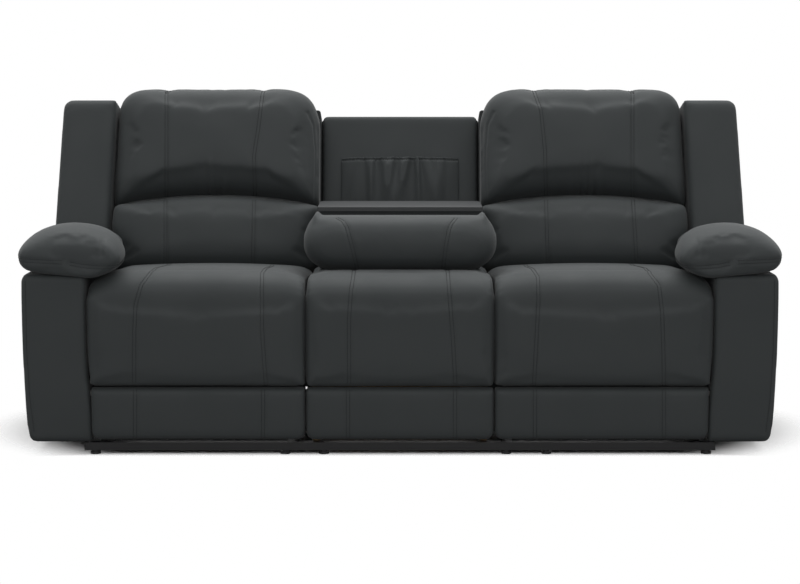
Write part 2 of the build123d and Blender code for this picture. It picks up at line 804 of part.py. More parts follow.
def head_pillow(side):
    middle = side * (back_inner + back_outer_low) / 2
    low = side_at(pillow_ends, side)
    with BuildPart() as pillow:
        with BuildSketch(rake_plane(0)):
            with BuildLine():
                arch = ThreePointArc((side * back_inner, pillow_ends + 0.6),
                                     (middle, pillow_arch + 0.6), (low, pillow_ends + 0.6))
                Polyline(arch @ 1, (side_at(back_height, side), back_height),
                         (side * back_inner, back_height), arch @ 0)
            make_face()
            fillet(vertices().group_by(Axis.Y)[-1], pillow_corner)
        extrude(amount=-cushion_depth)
        fillet(pillow.faces().sort_by(Axis.Y)[0].edges().filter_by(
            lambda e: e.center().Z > face_foot_height + pillow_arch), soft_round * 2)
    return pillow.part


def lumbar_cushion(side):
    middle = side * (back_inner + back_outer_low) / 2
    low = side_at(pillow_ends, side)
    neck = (arm_top + pad_clear - face_foot_height) / rake_cos
    with BuildPart() as cushion:
        with BuildSketch(rake_plane(-lumbar_swell)):
            with BuildLine():
                arch = ThreePointArc((side * back_inner, pillow_ends), (middle, pillow_arch),
                                     (low, pillow_ends))
                Polyline(arch @ 1, (side_at(neck, side), neck + 30), (side * seat_outer, neck),
                         (side * seat_outer, lumbar_foot), (side * back_inner, lumbar_foot), arch @ 0)
            make_face()
        extrude(amount=-(cushion_depth + lumbar_swell))
        fillet(cushion.faces().sort_by(Axis.Y)[0].edges().group_by(Axis.Z)[-1], soft_round)
        foremost, shoulder, rearmost = lumbar_shoulder
        side_slab([raked(*foremost), raked(*shoulder), raked(*rearmost),
                   raked(-foremost[0], rearmost[1]), raked(-foremost[0], foremost[1])],
                  side * seat_outer, side * (back_outer_low + wing_gap), Mode.SUBTRACT)
    return cushion.part


def outside_back(side):
    with BuildPart() as panel:
        raked_slab(side * back_inner, side * seat_outer, rear_foot, rear_top, rear_at,
                   rear_at + rear_depth)
    return panel.part


for name, side in SIDES:
    x_inner = side * seat_inner
    x_outer = side * seat_outer
    save(seat_frame(side), f"{name}_seat_frame")
    save(sinuous_springs(side * seat_middle), f"{name}_seat_springs")
    save(seat_cushion(x_inner, x_outer, seat_crest, seat_crest_at, seat_back_top + 6,
                      seat_back_at - 60), f"{name}_seat_cushion")
    save(mechanism_plates(side), f"{name}_mechanism_plates")
    save(drive_tube(side), f"{name}_drive_tube")
    save(coupler_links(side), f"{name}_coupler_links")
    save(footrest_brackets(side), f"{name}_footrest_brackets")
    save(footrest_board(side), f"{name}_footrest_board")
    save(upper_panel(x_inner, x_outer), f"{name}_footrest_pad")
    save(lower_panel(x_inner, x_outer), f"{name}_lower_panel")
    save(back_frame(side), f"{name}_back_frame")
    save(back_brackets(side), f"{name}_back_brackets")
    save(head_pillow(side), f"{name}_head_pillow")
    save(lumbar_cushion(side), f"{name}_lumbar_cushion")
    save(outside_back(side), f"{name}_outside_back")

# ---------------------------------------------------------------- centre seat



def rear_line(height):
    """Depth of the back cover's inner face at a height, less a little room."""
    return face_foot_at + ((height - face_foot_height) * rake_sin + rear_at - 2) / rake_cos


def centre_side_board(end):
    with BuildPart() as piece:
        side_slab([(bracket_at, rail_top), (rear_line(rail_top), rail_top),
                   (rear_line(frame_top), frame_top), (frame_front, frame_top),
                   (frame_front, front_board_top), (bracket_at, front_board_top)],
                  end * side_board_inner, end * side_board_outer)
    return piece.part


centre_boards = [centre_side_board(end) for end in ENDS]
centre_boards += [board(-side_board_inner, side_board_inner, d0, d0 + board_thickness,
                        frame_bottom, frame_top)
                  for d0 in (frame_front, frame_back - board_thickness)]
centre_boards.append(board(-side_board_outer, side_board_outer, board_at, bracket_at,
                           panel_foot + 8, front_board_top))
save(joined(centre_boards), "centre_seat_frame")
save(sinuous_springs(0), "centre_seat_springs")
save(seat_cushion(-centre_half, centre_half, centre_crest, seat_crest_at - 30, centre_level, 200),
     "centre_seat_cushion")
save(upper_panel(-centre_half, centre_half), "centre_front_pad")
save(lower_panel(-centre_half, centre_half), "centre_lower_panel")

# ---------------------------------------------------------------- fixed centre back

board_from = recess_face + recess_pad
cover_from = board_from + recess_board
stile_inner = side_board_inner - stile_width
back_boards = [raked_board(end * stile_inner, end * side_board_inner, back_frame_foot,
                           recess_top - 10, board_from, cover_from) for end in ENDS]
back_boards += [raked_board(-stile_inner, stile_inner, h0, h0 + stile_width, board_from,
                            cover_from)
                for h0 in (pocket_foot - 10, recess_top - 10 - stile_width)]
save(joined(back_boards), "centre_back_frame")

with BuildPart() as recess_panel:
    with BuildSketch(rake_plane(recess_face)):
        with Locations((0, recess_top / 2 + 5)):
            RectangleRounded(2 * recess_half, recess_top - 10, 12)
    extrude(amount=-recess_pad)
save(recess_panel.part, "recess_panel")

with BuildPart() as centre_back_cover:
    raked_slab(-recess_half, recess_half, rear_foot, recess_top - 5, cover_from, back_thickness)
save(centre_back_cover.part, "centre_back_cover")

with BuildPart() as magazine_pocket:
    raked_slab(-pocket_half, pocket_half, pocket_foot, pocket_top,
               recess_face - pocket_gap - pocket_wall, recess_face)
    raked_slab(-pocket_half + pocket_wall, pocket_half - pocket_wall, pocket_foot + pocket_wall,
               pocket_top + 1, recess_face - pocket_gap, recess_face + 1, Mode.SUBTRACT)
save(magazine_pocket.part, "magazine_pocket")

# ---------------------------------------------------------------- console

board_bottom = tray_top - tray_thickness - console_board
arm_layer = (side_board_inner - hinge_plate * 2 - layer_gap,
             side_board_inner - hinge_plate - layer_gap)
fixed_layer = (side_board_inner - hinge_plate, side_board_inner)

with BuildPart() as console_hinge_brackets:
    for end in ENDS:
        foot = (console_pivot[0], frame_bottom + 20)
        side_bar(console_pivot, foot, hinge_bar + 8, end * fixed_layer[0], end * fixed_layer[1])
        pivot_stud(console_pivot, end * fixed_layer[0], -end, hinge_plate + 2 * layer_gap)
save(console_hinge_brackets.part, "console_hinge_brackets")

with BuildPart() as console_hinge_arms:
    for end in ENDS:
        arm_end = (console_pivot[0], board_bottom + console_board - hinge_bar / 2)
        side_bar(console_pivot, arm_end, hinge_bar, end * arm_layer[0], end * arm_layer[1])
        side_disc(console_pivot, pivot_radius + pivot_fit, end * arm_layer[0],
                  end * arm_layer[1], Mode.SUBTRACT)
save(console_hinge_arms.part, "console_hinge_arms")

with BuildPart() as console_tray:
    with BuildSketch(Plane.XY.offset(tray_top - tray_thickness)):
        with Locations((0, y((tray_front_at + console_rear_at) / 2))):
            Rectangle(2 * console_half, console_rear_at - tray_front_at)
        fillet(vertices().group_by(Axis.Y)[-1], tray_corner)
        fillet(vertices().group_by(Axis.Y)[0], 4)
    extrude(amount=tray_thickness)
    fillet(console_tray.faces().sort_by(Axis.Z)[-1].edges(), 2)
save(console_tray.part, "console_tray")

with BuildPart() as console_timber:
    board_top_z = board_bottom + console_board
    block(-(console_half - board_inset), console_half - board_inset, tray_front_at + board_inset,
          notch_at, board_bottom, board_top_z)
    block(-arm_layer[0], arm_layer[0], notch_at, console_rear_at - board_inset, board_bottom,
          board_top_z)
save(console_timber.part, "console_board")

with BuildPart() as console_lumbar_pad:
    block(-console_half, console_half, head_rear_at, notch_at, lumbar_bottom, board_bottom)
    block(-notch_half, notch_half, notch_at, console_rear_at, lumbar_bottom, board_bottom)
save(console_lumbar_pad.part, "console_lumbar_pad")

with BuildPart() as console_head_pillow:
    block(-console_half, console_half, head_front_at, head_rear_at, head_bottom, head_top)
    fillet(console_head_pillow.edges().filter_by(Axis.X).group_by(Axis.Y)[0], head_round)
    fillet(console_head_pillow.edges().filter_by(Axis.X).group_by(Axis.Y)[-1], 5)
save(console_head_pillow.part, "console_head_pillow")

print("overall depth", round(overall_depth, 1))
print("footrest pivot", footrest_pivot, "drive pivot", drive_pivot, "back pivot", back_pivot)
print("console pivot", console_pivot, "front y", round(front_y, 3))
print("swings", footrest_swing, back_swing, console_swing)
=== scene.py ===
# %% [markdown]
# # Dressing a three-place reclining sofa
# The CAD model gives every hard part its place. This lesson puts the upholstery over it:
# pillows that bulge over their seams, seats that roll over their front edge, fat arm pads, and
# a console made of the folded-down middle back. Everything is in metres, in the frame of the
# CAD model.

# %% Load the frame
import json
import math

import bmesh
import bpy
import numpy as np
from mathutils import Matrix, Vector
from mathutils.bvhtree import BVHTree
from mathutils.kdtree import KDTree


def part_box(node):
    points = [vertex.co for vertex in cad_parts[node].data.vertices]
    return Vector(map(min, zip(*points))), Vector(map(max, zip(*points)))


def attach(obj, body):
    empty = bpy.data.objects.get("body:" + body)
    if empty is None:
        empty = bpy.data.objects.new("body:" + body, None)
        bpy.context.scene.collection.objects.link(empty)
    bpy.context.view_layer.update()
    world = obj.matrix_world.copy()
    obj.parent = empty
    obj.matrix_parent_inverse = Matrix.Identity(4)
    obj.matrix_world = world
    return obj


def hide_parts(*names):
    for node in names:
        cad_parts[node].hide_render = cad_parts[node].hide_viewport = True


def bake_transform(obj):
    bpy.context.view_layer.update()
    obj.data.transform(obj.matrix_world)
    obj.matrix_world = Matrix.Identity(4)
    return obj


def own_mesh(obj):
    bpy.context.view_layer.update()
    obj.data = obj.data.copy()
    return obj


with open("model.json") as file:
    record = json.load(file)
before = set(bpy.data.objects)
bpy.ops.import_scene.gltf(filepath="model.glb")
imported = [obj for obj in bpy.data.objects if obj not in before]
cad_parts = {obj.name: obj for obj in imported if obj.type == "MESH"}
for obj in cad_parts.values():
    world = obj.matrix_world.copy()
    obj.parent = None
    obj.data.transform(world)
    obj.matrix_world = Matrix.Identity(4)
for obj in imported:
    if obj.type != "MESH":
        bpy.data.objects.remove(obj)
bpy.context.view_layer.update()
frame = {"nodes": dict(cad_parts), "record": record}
nodes = frame["nodes"]

# %% [markdown]
# Three sizes carry the whole layout: where the seat fronts stand, how far the backs lean, and
# where the foot of the backs' face is. With them a point can be given as a sofa maker would: so
# far across, so far behind the seat fronts, so high, or so far up along the leaning back and so
# deep behind its face.

# %% Places on the sofa
SEAT_FRONT_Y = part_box("left_lower_panel")[0].y
RAKE = math.radians(14.0)
BACK_FOOT = (0.555, 0.455)  # depth and height of the foot of the backs' face
SIDES = (("left", -1), ("right", 1))


def place(across, depth, height):
    return Vector((across, SEAT_FRONT_Y + depth, height))


def on_back(across, up, deep):
    """A point `up` along the leaning back and `deep` behind its face."""
    depth = BACK_FOOT[0] + up * math.sin(RAKE) + deep * math.cos(RAKE)
    return place(across, depth, BACK_FOOT[1] + up * math.cos(RAKE) - deep * math.sin(RAKE))


def back_coordinates(points):
    """The reverse of on_back, for an array of points: how far up and how deep each one is."""
    depth = points[:, 1] - SEAT_FRONT_Y - BACK_FOOT[0]
    height = points[:, 2] - BACK_FOOT[1]
    up = depth * math.sin(RAKE) + height * math.cos(RAKE)
    deep = depth * math.cos(RAKE) - height * math.sin(RAKE)
    return up, deep


print("seat fronts at y =", round(SEAT_FRONT_Y, 4))

# %% [markdown]
# The camera comes early, because seams are laid on the cushions by looking through it: a seam
# that is known from the picture is a line of picture points, and a ray through each point finds
# the cloth.

# %% Camera
CAMERA_AT = Vector((0.0, SEAT_FRONT_Y - 5.5, 1.10))
CAMERA_DROP = math.radians(6.68)
FOCAL_PIXELS = 2027.0
PICTURE = (800, 584)
camera_data = bpy.data.cameras.new("camera")
camera_data.sensor_width = 36.0
camera_data.lens = FOCAL_PIXELS * camera_data.sensor_width / PICTURE[0]
camera = bpy.data.objects.new("camera", camera_data)
camera.location = CAMERA_AT
camera.rotation_euler = (math.pi / 2 - CAMERA_DROP, 0.0, 0.0)
bpy.context.scene.collection.objects.link(camera)
bpy.context.scene.camera = camera


def sight(pixel_x, pixel_y):
    """Start and direction of the ray through a point of the picture."""
    across = (pixel_x - PICTURE[0] / 2) / FOCAL_PIXELS
    rise = (PICTURE[1] / 2 - pixel_y) / FOCAL_PIXELS
    ahead = Vector((0, math.cos(CAMERA_DROP), -math.sin(CAMERA_DROP)))
    above = Vector((0, math.sin(CAMERA_DROP), math.cos(CAMERA_DROP)))
    return CAMERA_AT, (ahead + Vector((across, 0, 0)) + above * rise).normalized()


print("camera lens", round(camera_data.lens, 1), "mm")

# %% [markdown]
# ## Finishes
# The cover is a soft charcoal cloth with a short nap. What the eye reads as cloth is a fine
# grain, a slow drift between lighter and darker patches where the nap lies differently, and a
# faint sheen. The same grain is used on the seats, on the plainer cloth of the rear and on the
# moulded plastic, so it is one node group with a scale and a strength.

# %% Node helpers
def group_with(name, inputs, outputs):
    tree = bpy.data.node_groups.new(name, "ShaderNodeTree")
    for label, kind, value in inputs:
        socket = tree.interface.new_socket(label, in_out="INPUT", socket_type=kind)
        socket.default_value = value
    for label, kind in outputs:
        tree.interface.new_socket(label, in_out="OUTPUT", socket_type=kind)
    return tree, tree.nodes.new("NodeGroupInput"), tree.nodes.new("NodeGroupOutput")


def linked(tree, kind, inputs=(), **settings):
    """A node with its settings and with its inputs linked or set."""
    node = tree.nodes.new(kind)
    for key, value in settings.items():
        setattr(node, key, value)
    for socket, value in dict(inputs).items():
        if isinstance(value, bpy.types.NodeSocket):
            tree.links.new(value, node.inputs[socket])
        else:
            node.inputs[socket].default_value = value
    return node


print("node helpers ready in Blender", bpy.app.version_string)

# %% [markdown]
# The grain itself is the sum of three noises. A coarse one drifts over a hand's breadth, and the
# other two are as fine as the cloth's nap and as the small pebbles under it. Their sum shades
# the colour and the roughness, and the two fine ones are the height for the bump.

# %% Grain group
def build_grain():
    """Mottled colour, uneven roughness and a height for bump."""
    tree, given, out = group_with(
        "grain",
        [("Colour", "NodeSocketColor", (0.1, 0.1, 0.1, 1)), ("Drift", "NodeSocketFloat", 0.12),
         ("Fine", "NodeSocketFloat", 900.0), ("Roughness", "NodeSocketFloat", 0.8)],
        [("Colour", "NodeSocketColor"), ("Roughness", "NodeSocketFloat"),
         ("Height", "NodeSocketFloat")])
    where = linked(tree, "ShaderNodeTexCoord").outputs["Object"]
    patches = linked(tree, "ShaderNodeTexNoise", {"Vector": where, "Scale": 9.0, "Detail": 3.0})
    fine = linked(tree, "ShaderNodeTexNoise",
                  {"Vector": where, "Scale": given.outputs["Fine"], "Detail": 2.0})
    pebble = linked(tree, "ShaderNodeTexNoise", {"Vector": where, "Scale": 240.0, "Detail": 2.0})
    mixed = linked(tree, "ShaderNodeMath", {0: fine.outputs["Fac"], 1: pebble.outputs["Fac"]},
                   operation="ADD")
    height = linked(tree, "ShaderNodeMath", {0: mixed.outputs[0], 1: 0.5}, operation="MULTIPLY")
    blended = linked(tree, "ShaderNodeMath", {0: patches.outputs["Fac"], 1: height.outputs[0]},
                     operation="ADD")
    centred = linked(tree, "ShaderNodeMath", {0: blended.outputs[0], 1: 1.0}, operation="SUBTRACT")
    swing = linked(tree, "ShaderNodeMath", {0: centred.outputs[0], 1: given.outputs["Drift"]},
                   operation="MULTIPLY")
    factor = linked(tree, "ShaderNodeMath", {0: swing.outputs[0], 1: 1.0}, operation="ADD")
    shade = linked(tree, "ShaderNodeVectorMath",
                   {0: given.outputs["Colour"], 1: factor.outputs[0]}, operation="MULTIPLY")
    rough = linked(tree, "ShaderNodeMath", {0: swing.outputs[0], 1: given.outputs["Roughness"]},
                   operation="ADD", use_clamp=True)
    for label, node in (("Colour", shade), ("Roughness", rough), ("Height", height)):
        tree.links.new(node.outputs[0], out.inputs[label])
    return tree


GRAIN = build_grain()
print("grain group:", [item.name for item in GRAIN.interface.items_tree])

# %% [markdown]
# A finish is one function call: a colour, how far it drifts, how fine and deep its grain is,
# and the plain numbers of the shader. The shader itself stays in the material, and its constant
# numbers are set on its own sockets.

# %% Finishes with grain
def finish(name, colour, rough, drift=0.12, fine=900.0, bump=0.0002, **shader):
    material = bpy.data.materials.new(name)
    material.use_nodes = True
    tree = material.node_tree
    surface = tree.nodes["Principled BSDF"]
    grain = tree.nodes.new("ShaderNodeGroup")
    grain.node_tree = GRAIN
    grain.inputs["Colour"].default_value = (*colour, 1.0)
    grain.inputs["Drift"].default_value = drift
    grain.inputs["Fine"].default_value = fine
    grain.inputs["Roughness"].default_value = rough
    relief = linked(tree, "ShaderNodeBump", {"Height": grain.outputs["Height"], "Distance": bump,
                                             "Strength": 1.0})
    tree.links.new(grain.outputs["Colour"], surface.inputs["Base Color"])
    tree.links.new(grain.outputs["Roughness"], surface.inputs["Roughness"])
    tree.links.new(relief.outputs["Normal"], surface.inputs["Normal"])
    for socket, value in shader.items():
        surface.inputs[socket.replace("_", " ")].default_value = value
    material.diffuse_color = (*colour, 1.0)
    return material


COVER_COLOUR = (0.047, 0.0535, 0.055)
FINISHES = {
    "upholstery": finish("upholstery", COVER_COLOUR, 0.72, drift=0.16, fine=1100.0, bump=0.00035,
                         Sheen_Weight=0.12, Sheen_Roughness=0.4),
    "back_cloth": finish("back_cloth", (0.034, 0.038, 0.039), 0.88, drift=0.1, fine=1500.0,
                         bump=0.0004),
    "black_steel": finish("black_steel", (0.018, 0.018, 0.019), 0.42, drift=0.1, fine=600.0,
                          bump=0.00008, Metallic=0.0, Specular_IOR_Level=0.5),
    "bright_steel": finish("bright_steel", (0.55, 0.55, 0.54), 0.32, drift=0.08, fine=1500.0,
                           bump=0.00003, Metallic=1.0),
    "tray": finish("tray", (0.040, 0.043, 0.045), 0.5, drift=0.06, fine=1500.0, bump=0.00008),
    "foot_plastic": finish("foot_plastic", (0.03, 0.03, 0.032), 0.45, drift=0.08, bump=0.00005),
    "handle_plastic": finish("handle_plastic", (0.02, 0.02, 0.021), 0.38, drift=0.06,
                             bump=0.00005),
    "cable_sleeve": finish("cable_sleeve", (0.015, 0.015, 0.015), 0.5, drift=0.06, bump=0.00005),
}
THREAD = finish("thread", (0.020, 0.022, 0.023), 0.8, drift=0.2, fine=2500.0, bump=0.0002)
print("finishes:", sorted(FINISHES))

# %% [markdown]
# The frames inside are sawn softwood. Wood needs grain that runs along a board, so its noise is
# stretched: the bands come from a wave texture that noise bends, and they darken the late wood.

# %% Timber
def timber():
    material = bpy.data.materials.new("timber")
    material.use_nodes = True
    tree = material.node_tree
    surface = tree.nodes["Principled BSDF"]
    where = linked(tree, "ShaderNodeTexCoord").outputs["Object"]
    stretched = linked(tree, "ShaderNodeMapping", {"Vector": where, "Scale": (4.0, 30.0, 30.0)})
    bands = linked(tree, "ShaderNodeTexWave", {"Vector": stretched.outputs[0], "Scale": 1.2,
                                               "Distortion": 7.0, "Detail": 3.0},
                   bands_direction="Z")
    fibres = linked(tree, "ShaderNodeTexNoise", {"Vector": stretched.outputs[0], "Scale": 14.0,
                                                 "Detail": 4.0})
    colours = tree.nodes.new("ShaderNodeValToRGB")
    colours.color_ramp.elements[0].color = (0.52, 0.36, 0.20, 1)
    colours.color_ramp.elements[1].color = (0.34, 0.21, 0.11, 1)
    tree.links.new(bands.outputs["Fac"], colours.inputs["Fac"])
    relief = linked(tree, "ShaderNodeBump", {"Height": fibres.outputs["Fac"], "Distance": 0.0003})
    tree.links.new(colours.outputs["Color"], surface.inputs["Base Color"])
    tree.links.new(relief.outputs["Normal"], surface.inputs["Normal"])
    surface.inputs["Roughness"].default_value = 0.75
    return material


FINISHES["timber"] = timber()
print("timber nodes:", len(FINISHES["timber"].node_tree.nodes))

# %% [markdown]
# Hard parts keep their CAD shape and only change finish. The imported record says which slot each
# node's finish belongs to, so the finishes are handed out by reading it. The two footrest boards
# are wrapped in the cloth of the rear, because they show when the sofa opens. The console board
# gets the same dark cloth as painted shade: it darkens the strip under the tray, where the gap
# lies in shade.

# %% Finish the hard parts
node_slots = {entry["node"]: entry["material_slot"] for entry in frame["record"]["subparts"]}
# The footrest boards are wrapped in the rear's cloth as real ones are; the console board's dark
# cloth is painted shade for the shaded gap under the tray.
WRAPPED_AND_PAINTED_SHADE_BOARDS = ("console_board", "left_footrest_board", "right_footrest_board")
for node_name, node in nodes.items():
    slot_name = "back_cloth" if node_name in WRAPPED_AND_PAINTED_SHADE_BOARDS else node_slots[node_name]
    node.data.materials.clear()
    node.data.materials.append(FINISHES[slot_name])
    node.data.polygons.foreach_set("material_index", [0] * len(node.data.polygons))
print(len(nodes), "nodes finished,", len(node_slots), "with a slot in the record")

# %% [markdown]
# ## Making padded pieces
# Every padded piece starts as a rough closed shape, then goes through the same steps as in the
# workshop: cover it evenly (a voxel remesh), round its edges (smoothing), and stuff it (cloth
# with pressure). A rough shape is a stack of rings: closed loops of points, joined in order and
# closed at both ends.

# %% Rings to mesh
CLOTH_CELL = 0.0085


def piece_from(name, points, faces):
    mesh = bpy.data.meshes.new(name)
    mesh.from_pydata([tuple(p) for p in points], [], faces)
    mesh.materials.append(FINISHES["upholstery"])
    built = bpy.data.objects.new(name, mesh)
    bpy.context.scene.collection.objects.link(built)
    return built


def stack(name, rings):
    """Closed shape through rings that all have the same number of points."""
    count = len(rings[0])
    points = [p for ring in rings for p in ring]
    faces = []
    for level in range(len(rings) - 1):
        for i in range(count):
            j = (i + 1) % count
            faces.append((level * count + i, level * count + j,
                          (level + 1) * count + j, (level + 1) * count + i))
    faces.append(tuple(reversed(range(count))))
    faces.append(tuple(range((len(rings) - 1) * count, len(rings) * count)))
    built = piece_from(name, points, faces)
    work = bmesh.new()
    work.from_mesh(built.data)
    bmesh.ops.recalc_face_normals(work, faces=work.faces)
    work.to_mesh(built.data)
    work.free()
    return built


print("cloth cell", CLOTH_CELL)

# %% [markdown]
# The rings come from a few corners. `rounded_loop` rounds them, `spread` fills long sides with
# points, and `spread_even` gives every ring of a stack the same number of points.

# %% Loops of points
def rounded_loop(corners, radii, steps=6):
    """Closed flat loop with its corners rounded; each radius may be zero."""
    loop = []
    count = len(corners)
    for i, (corner, radius) in enumerate(zip(corners, radii)):
        here = Vector(corner)
        if radius <= 0:
            loop.append(here)
            continue
        before = (Vector(corners[i - 1]) - here).normalized()
        after = (Vector(corners[(i + 1) % count]) - here).normalized()
        for k in range(steps + 1):
            t = k / steps
            start, end = here + before * radius, here + after * radius
            loop.append(start * (1 - t) ** 2 + here * 2 * t * (1 - t) + end * t ** 2)
    return loop


def spread(loop, spacing):
    """The same closed loop with points about `spacing` apart."""
    fine = []
    for i, here in enumerate(loop):
        there = loop[(i + 1) % len(loop)]
        pieces = max(1, round((there - here).length / spacing))
        fine += [here.lerp(there, k / pieces) for k in range(pieces)]
    return fine


def spread_even(loop, count):
    """A closed loop as `count` points, the same share of the way round each time."""
    ends = loop[1:] + loop[:1]
    lengths = [(b - a).length for a, b in zip(loop, ends)]
    total, points, i, done = sum(lengths), [], 0, 0.0
    for k in range(count):
        want = total * k / count
        while done + lengths[i] < want:
            done += lengths[i]
            i += 1
        points.append(loop[i].lerp(ends[i], (want - done) / lengths[i]))
    return points


square = [(0, 0), (0, 1), (1, 1), (1, 0)]
print("points of a square with round corners:", len(rounded_loop(square, [0.1] * 4)))

# %% [markdown]
# Firm pieces such as the arms, the wings and the boards of the rear are one outline again and
# again, drawn in a little at each layer. How the two directions of the outline and the depth of
# the layer become a place is given as a function: `upright` for the front, `on_back` for the
# leaning back.

# %% Layers of one outline
def upright(across, height, depth):
    return place(across, depth, height)


def layered(name, outline, hub, half, layers, put):
    """Stack of one outline; layers are (inset, depth), and `half` is half its width and height."""
    hub, rings = Vector(hub), []
    for inset, deep in layers:
        shrink = Vector((1 - inset / half[0], 1 - inset / half[1]))
        rings.append([put(hub.x + (p.x - hub.x) * shrink.x, hub.y + (p.y - hub.y) * shrink.y, deep)
                      for p in outline])
    return stack(name, rings)


print("foot of the backs' face:", [round(v, 4) for v in on_back(0.0, 0.0, 0.0)])

# %% [markdown]
# The steps that follow work on all points of a pad as one array, which is far quicker than
# going through them one by one. So the first helpers read a pad's points and their normals, and
# write the points back.

# %% Read and move points
def points_of(obj):
    flat = np.zeros(len(obj.data.vertices) * 3)
    obj.data.vertices.foreach_get("co", flat)
    return flat.reshape(-1, 3)


def normals_of(obj):
    flat = np.zeros(len(obj.data.vertices) * 3)
    obj.data.vertices.foreach_get("normal", flat)
    return flat.reshape(-1, 3)


def set_points(obj, points):
    obj.data.vertices.foreach_set("co", points.reshape(-1))
    obj.data.update()


def depth_of(points):
    """How far each point lies behind the seat fronts."""
    return points[:, 1] - SEAT_FRONT_Y


def rise(value, low, high):
    """0 below low, 1 above high, smooth between."""
    t = np.clip((value - low) / (high - low), 0.0, 1.0)
    return t * t * (3 - 2 * t)


print("rise at a quarter, a half and three quarters:", rise(np.array([0.25, 0.5, 0.75]), 0, 1))

# %% [markdown]
# `even_cover` remeshes a rough shape into small even cells and smooths its edges, as foam does
# under cloth. `fit_across` gives back the few millimetres that this takes off the width, and
# `keep_between` holds a pad clear of its neighbours, so that nothing jams when the backs and
# the console move.

# %% Cover and fit
def apply_modifiers(obj):
    graph = bpy.context.evaluated_depsgraph_get()
    mesh = bpy.data.meshes.new_from_object(obj.evaluated_get(graph))
    obj.modifiers.clear()
    old, obj.data = obj.data, mesh
    bpy.data.meshes.remove(old)
    return obj


def even_cover(obj, cell=CLOTH_CELL, rounds=4):
    remesh = obj.modifiers.new("cover", "REMESH")
    remesh.mode, remesh.voxel_size = "VOXEL", cell
    smooth = obj.modifiers.new("ease", "SMOOTH")
    smooth.factor, smooth.iterations = 0.5, rounds
    return apply_modifiers(obj)


def fit_across(obj, x0, x1):
    points = points_of(obj)
    low, high = points[:, 0].min(), points[:, 0].max()
    points[:, 0] = x0 + (points[:, 0] - low) * (x1 - x0) / (high - low)
    set_points(obj, points)
    return obj


def keep_between(obj, inner, outer):
    """No point nearer the sofa's middle than inner, and none beyond outer."""
    points = points_of(obj)
    points[:, 0] = np.sign(points[:, 0]) * np.clip(np.abs(points[:, 0]), inner, outer)
    set_points(obj, points)


print("an outer seat is fitted between its neighbours, a pillow is kept between them")

# %% [markdown]
# `stuff` runs the cloth: the points that rest on a board are pinned, pressure pushes the rest
# out, and no point may move further than a cap, so that the pad keeps its planned size. Some
# twenty frames are enough for the pressure to fill it.

# %% Stuff
STUFFING_FRAMES = 20


def stuff(obj, resting, pressure=2.5, cap=0.014):
    """Stuffs a pad; `resting` is a mask of the points that stay where they are."""
    planned = points_of(obj)
    held = obj.vertex_groups.new(name="resting")
    held.add([int(i) for i in np.flatnonzero(resting)], 1.0, "ADD")
    cloth = obj.modifiers.new("stuffing", "CLOTH")
    cloth.settings.vertex_group_mass = "resting"
    cloth.settings.use_pressure = True
    cloth.settings.uniform_pressure_force = pressure
    cloth.settings.quality = 4
    cloth.settings.effector_weights.gravity = 0.0
    cloth.collision_settings.use_collision = False
    scene = bpy.context.scene
    for step in range(1, STUFFING_FRAMES + 1):
        scene.frame_set(step)
    graph = bpy.context.evaluated_depsgraph_get()
    stuffed = obj.evaluated_get(graph)
    flat = np.zeros(len(stuffed.data.vertices) * 3)
    stuffed.data.vertices.foreach_get("co", flat)
    move = flat.reshape(-1, 3) - planned
    length = np.linalg.norm(move, axis=1, keepdims=True)
    move *= np.minimum(1.0, cap / np.maximum(length, 1e-9))
    obj.modifiers.clear()
    obj.vertex_groups.clear()
    scene.frame_set(1)
    set_points(obj, planned + move)
    return obj


print("stuffing runs for", STUFFING_FRAMES, "frames")

# %% [markdown]
# `refine` subdivides a finished shape once, so that narrow seams can be pressed into it.
# `deliver` says which hard parts a pad stands for and which body carries it.

# %% Refine and deliver
def shade_smooth(obj):
    obj.data.polygons.foreach_set("use_smooth", [True] * len(obj.data.polygons))
    obj.data.update()
    return obj


def refine(obj):
    surface = obj.modifiers.new("finer", "SUBSURF")
    surface.levels = surface.render_levels = 1
    apply_modifiers(obj)
    return shade_smooth(obj)


def deliver(obj, body, *replaced, fill=0.8, slot_name="upholstery"):
    obj.data.materials.clear()
    obj.data.materials.append(FINISHES[slot_name])
    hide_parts(*replaced)
    if body:
        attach(obj, body)
    print(obj.name, "faces", len(obj.data.polygons))
    return obj


# %% [markdown]
# ## Seams
# A twin-needle seam is three things: the joint of two panels, which pulls the surface in, and a
# row of stitches on each side of it. The line is found by rays: through picture points where
# the picture shows it, and straight down where it runs on out of sight. The groove is pressed
# into the pad, and the threads are separate little bars that lie on the cloth.

# %% Find a line on a pad
STITCH_PITCH = 0.007
STITCH_LENGTH = 0.0057
THREAD_RADIUS = 0.0010
ROWS = (-0.0044, 0.0044)  # where the two rows of a twin-needle seam lie, beside its line
RAYS_IN_A_RUN = 60
NEW_RUN = 1.5  # rays that start further apart belong to different runs
LONGEST_STEP = 0.08  # points further apart on the cloth are on both sides of a gap


def tree_of(obj):
    return BVHTree.FromPolygons([v.co for v in obj.data.vertices],
                                [tuple(p.vertices) for p in obj.data.polygons])


def rays_between(first, last, count):
    for k in range(count + 1):
        t = k / count
        yield (Vector(first[0]).lerp(Vector(last[0]), t),
               Vector(first[1]).lerp(Vector(last[1]), t).normalized())


def down(across, depth):
    return place(across, depth, 3.0), Vector((0, 0, -1))


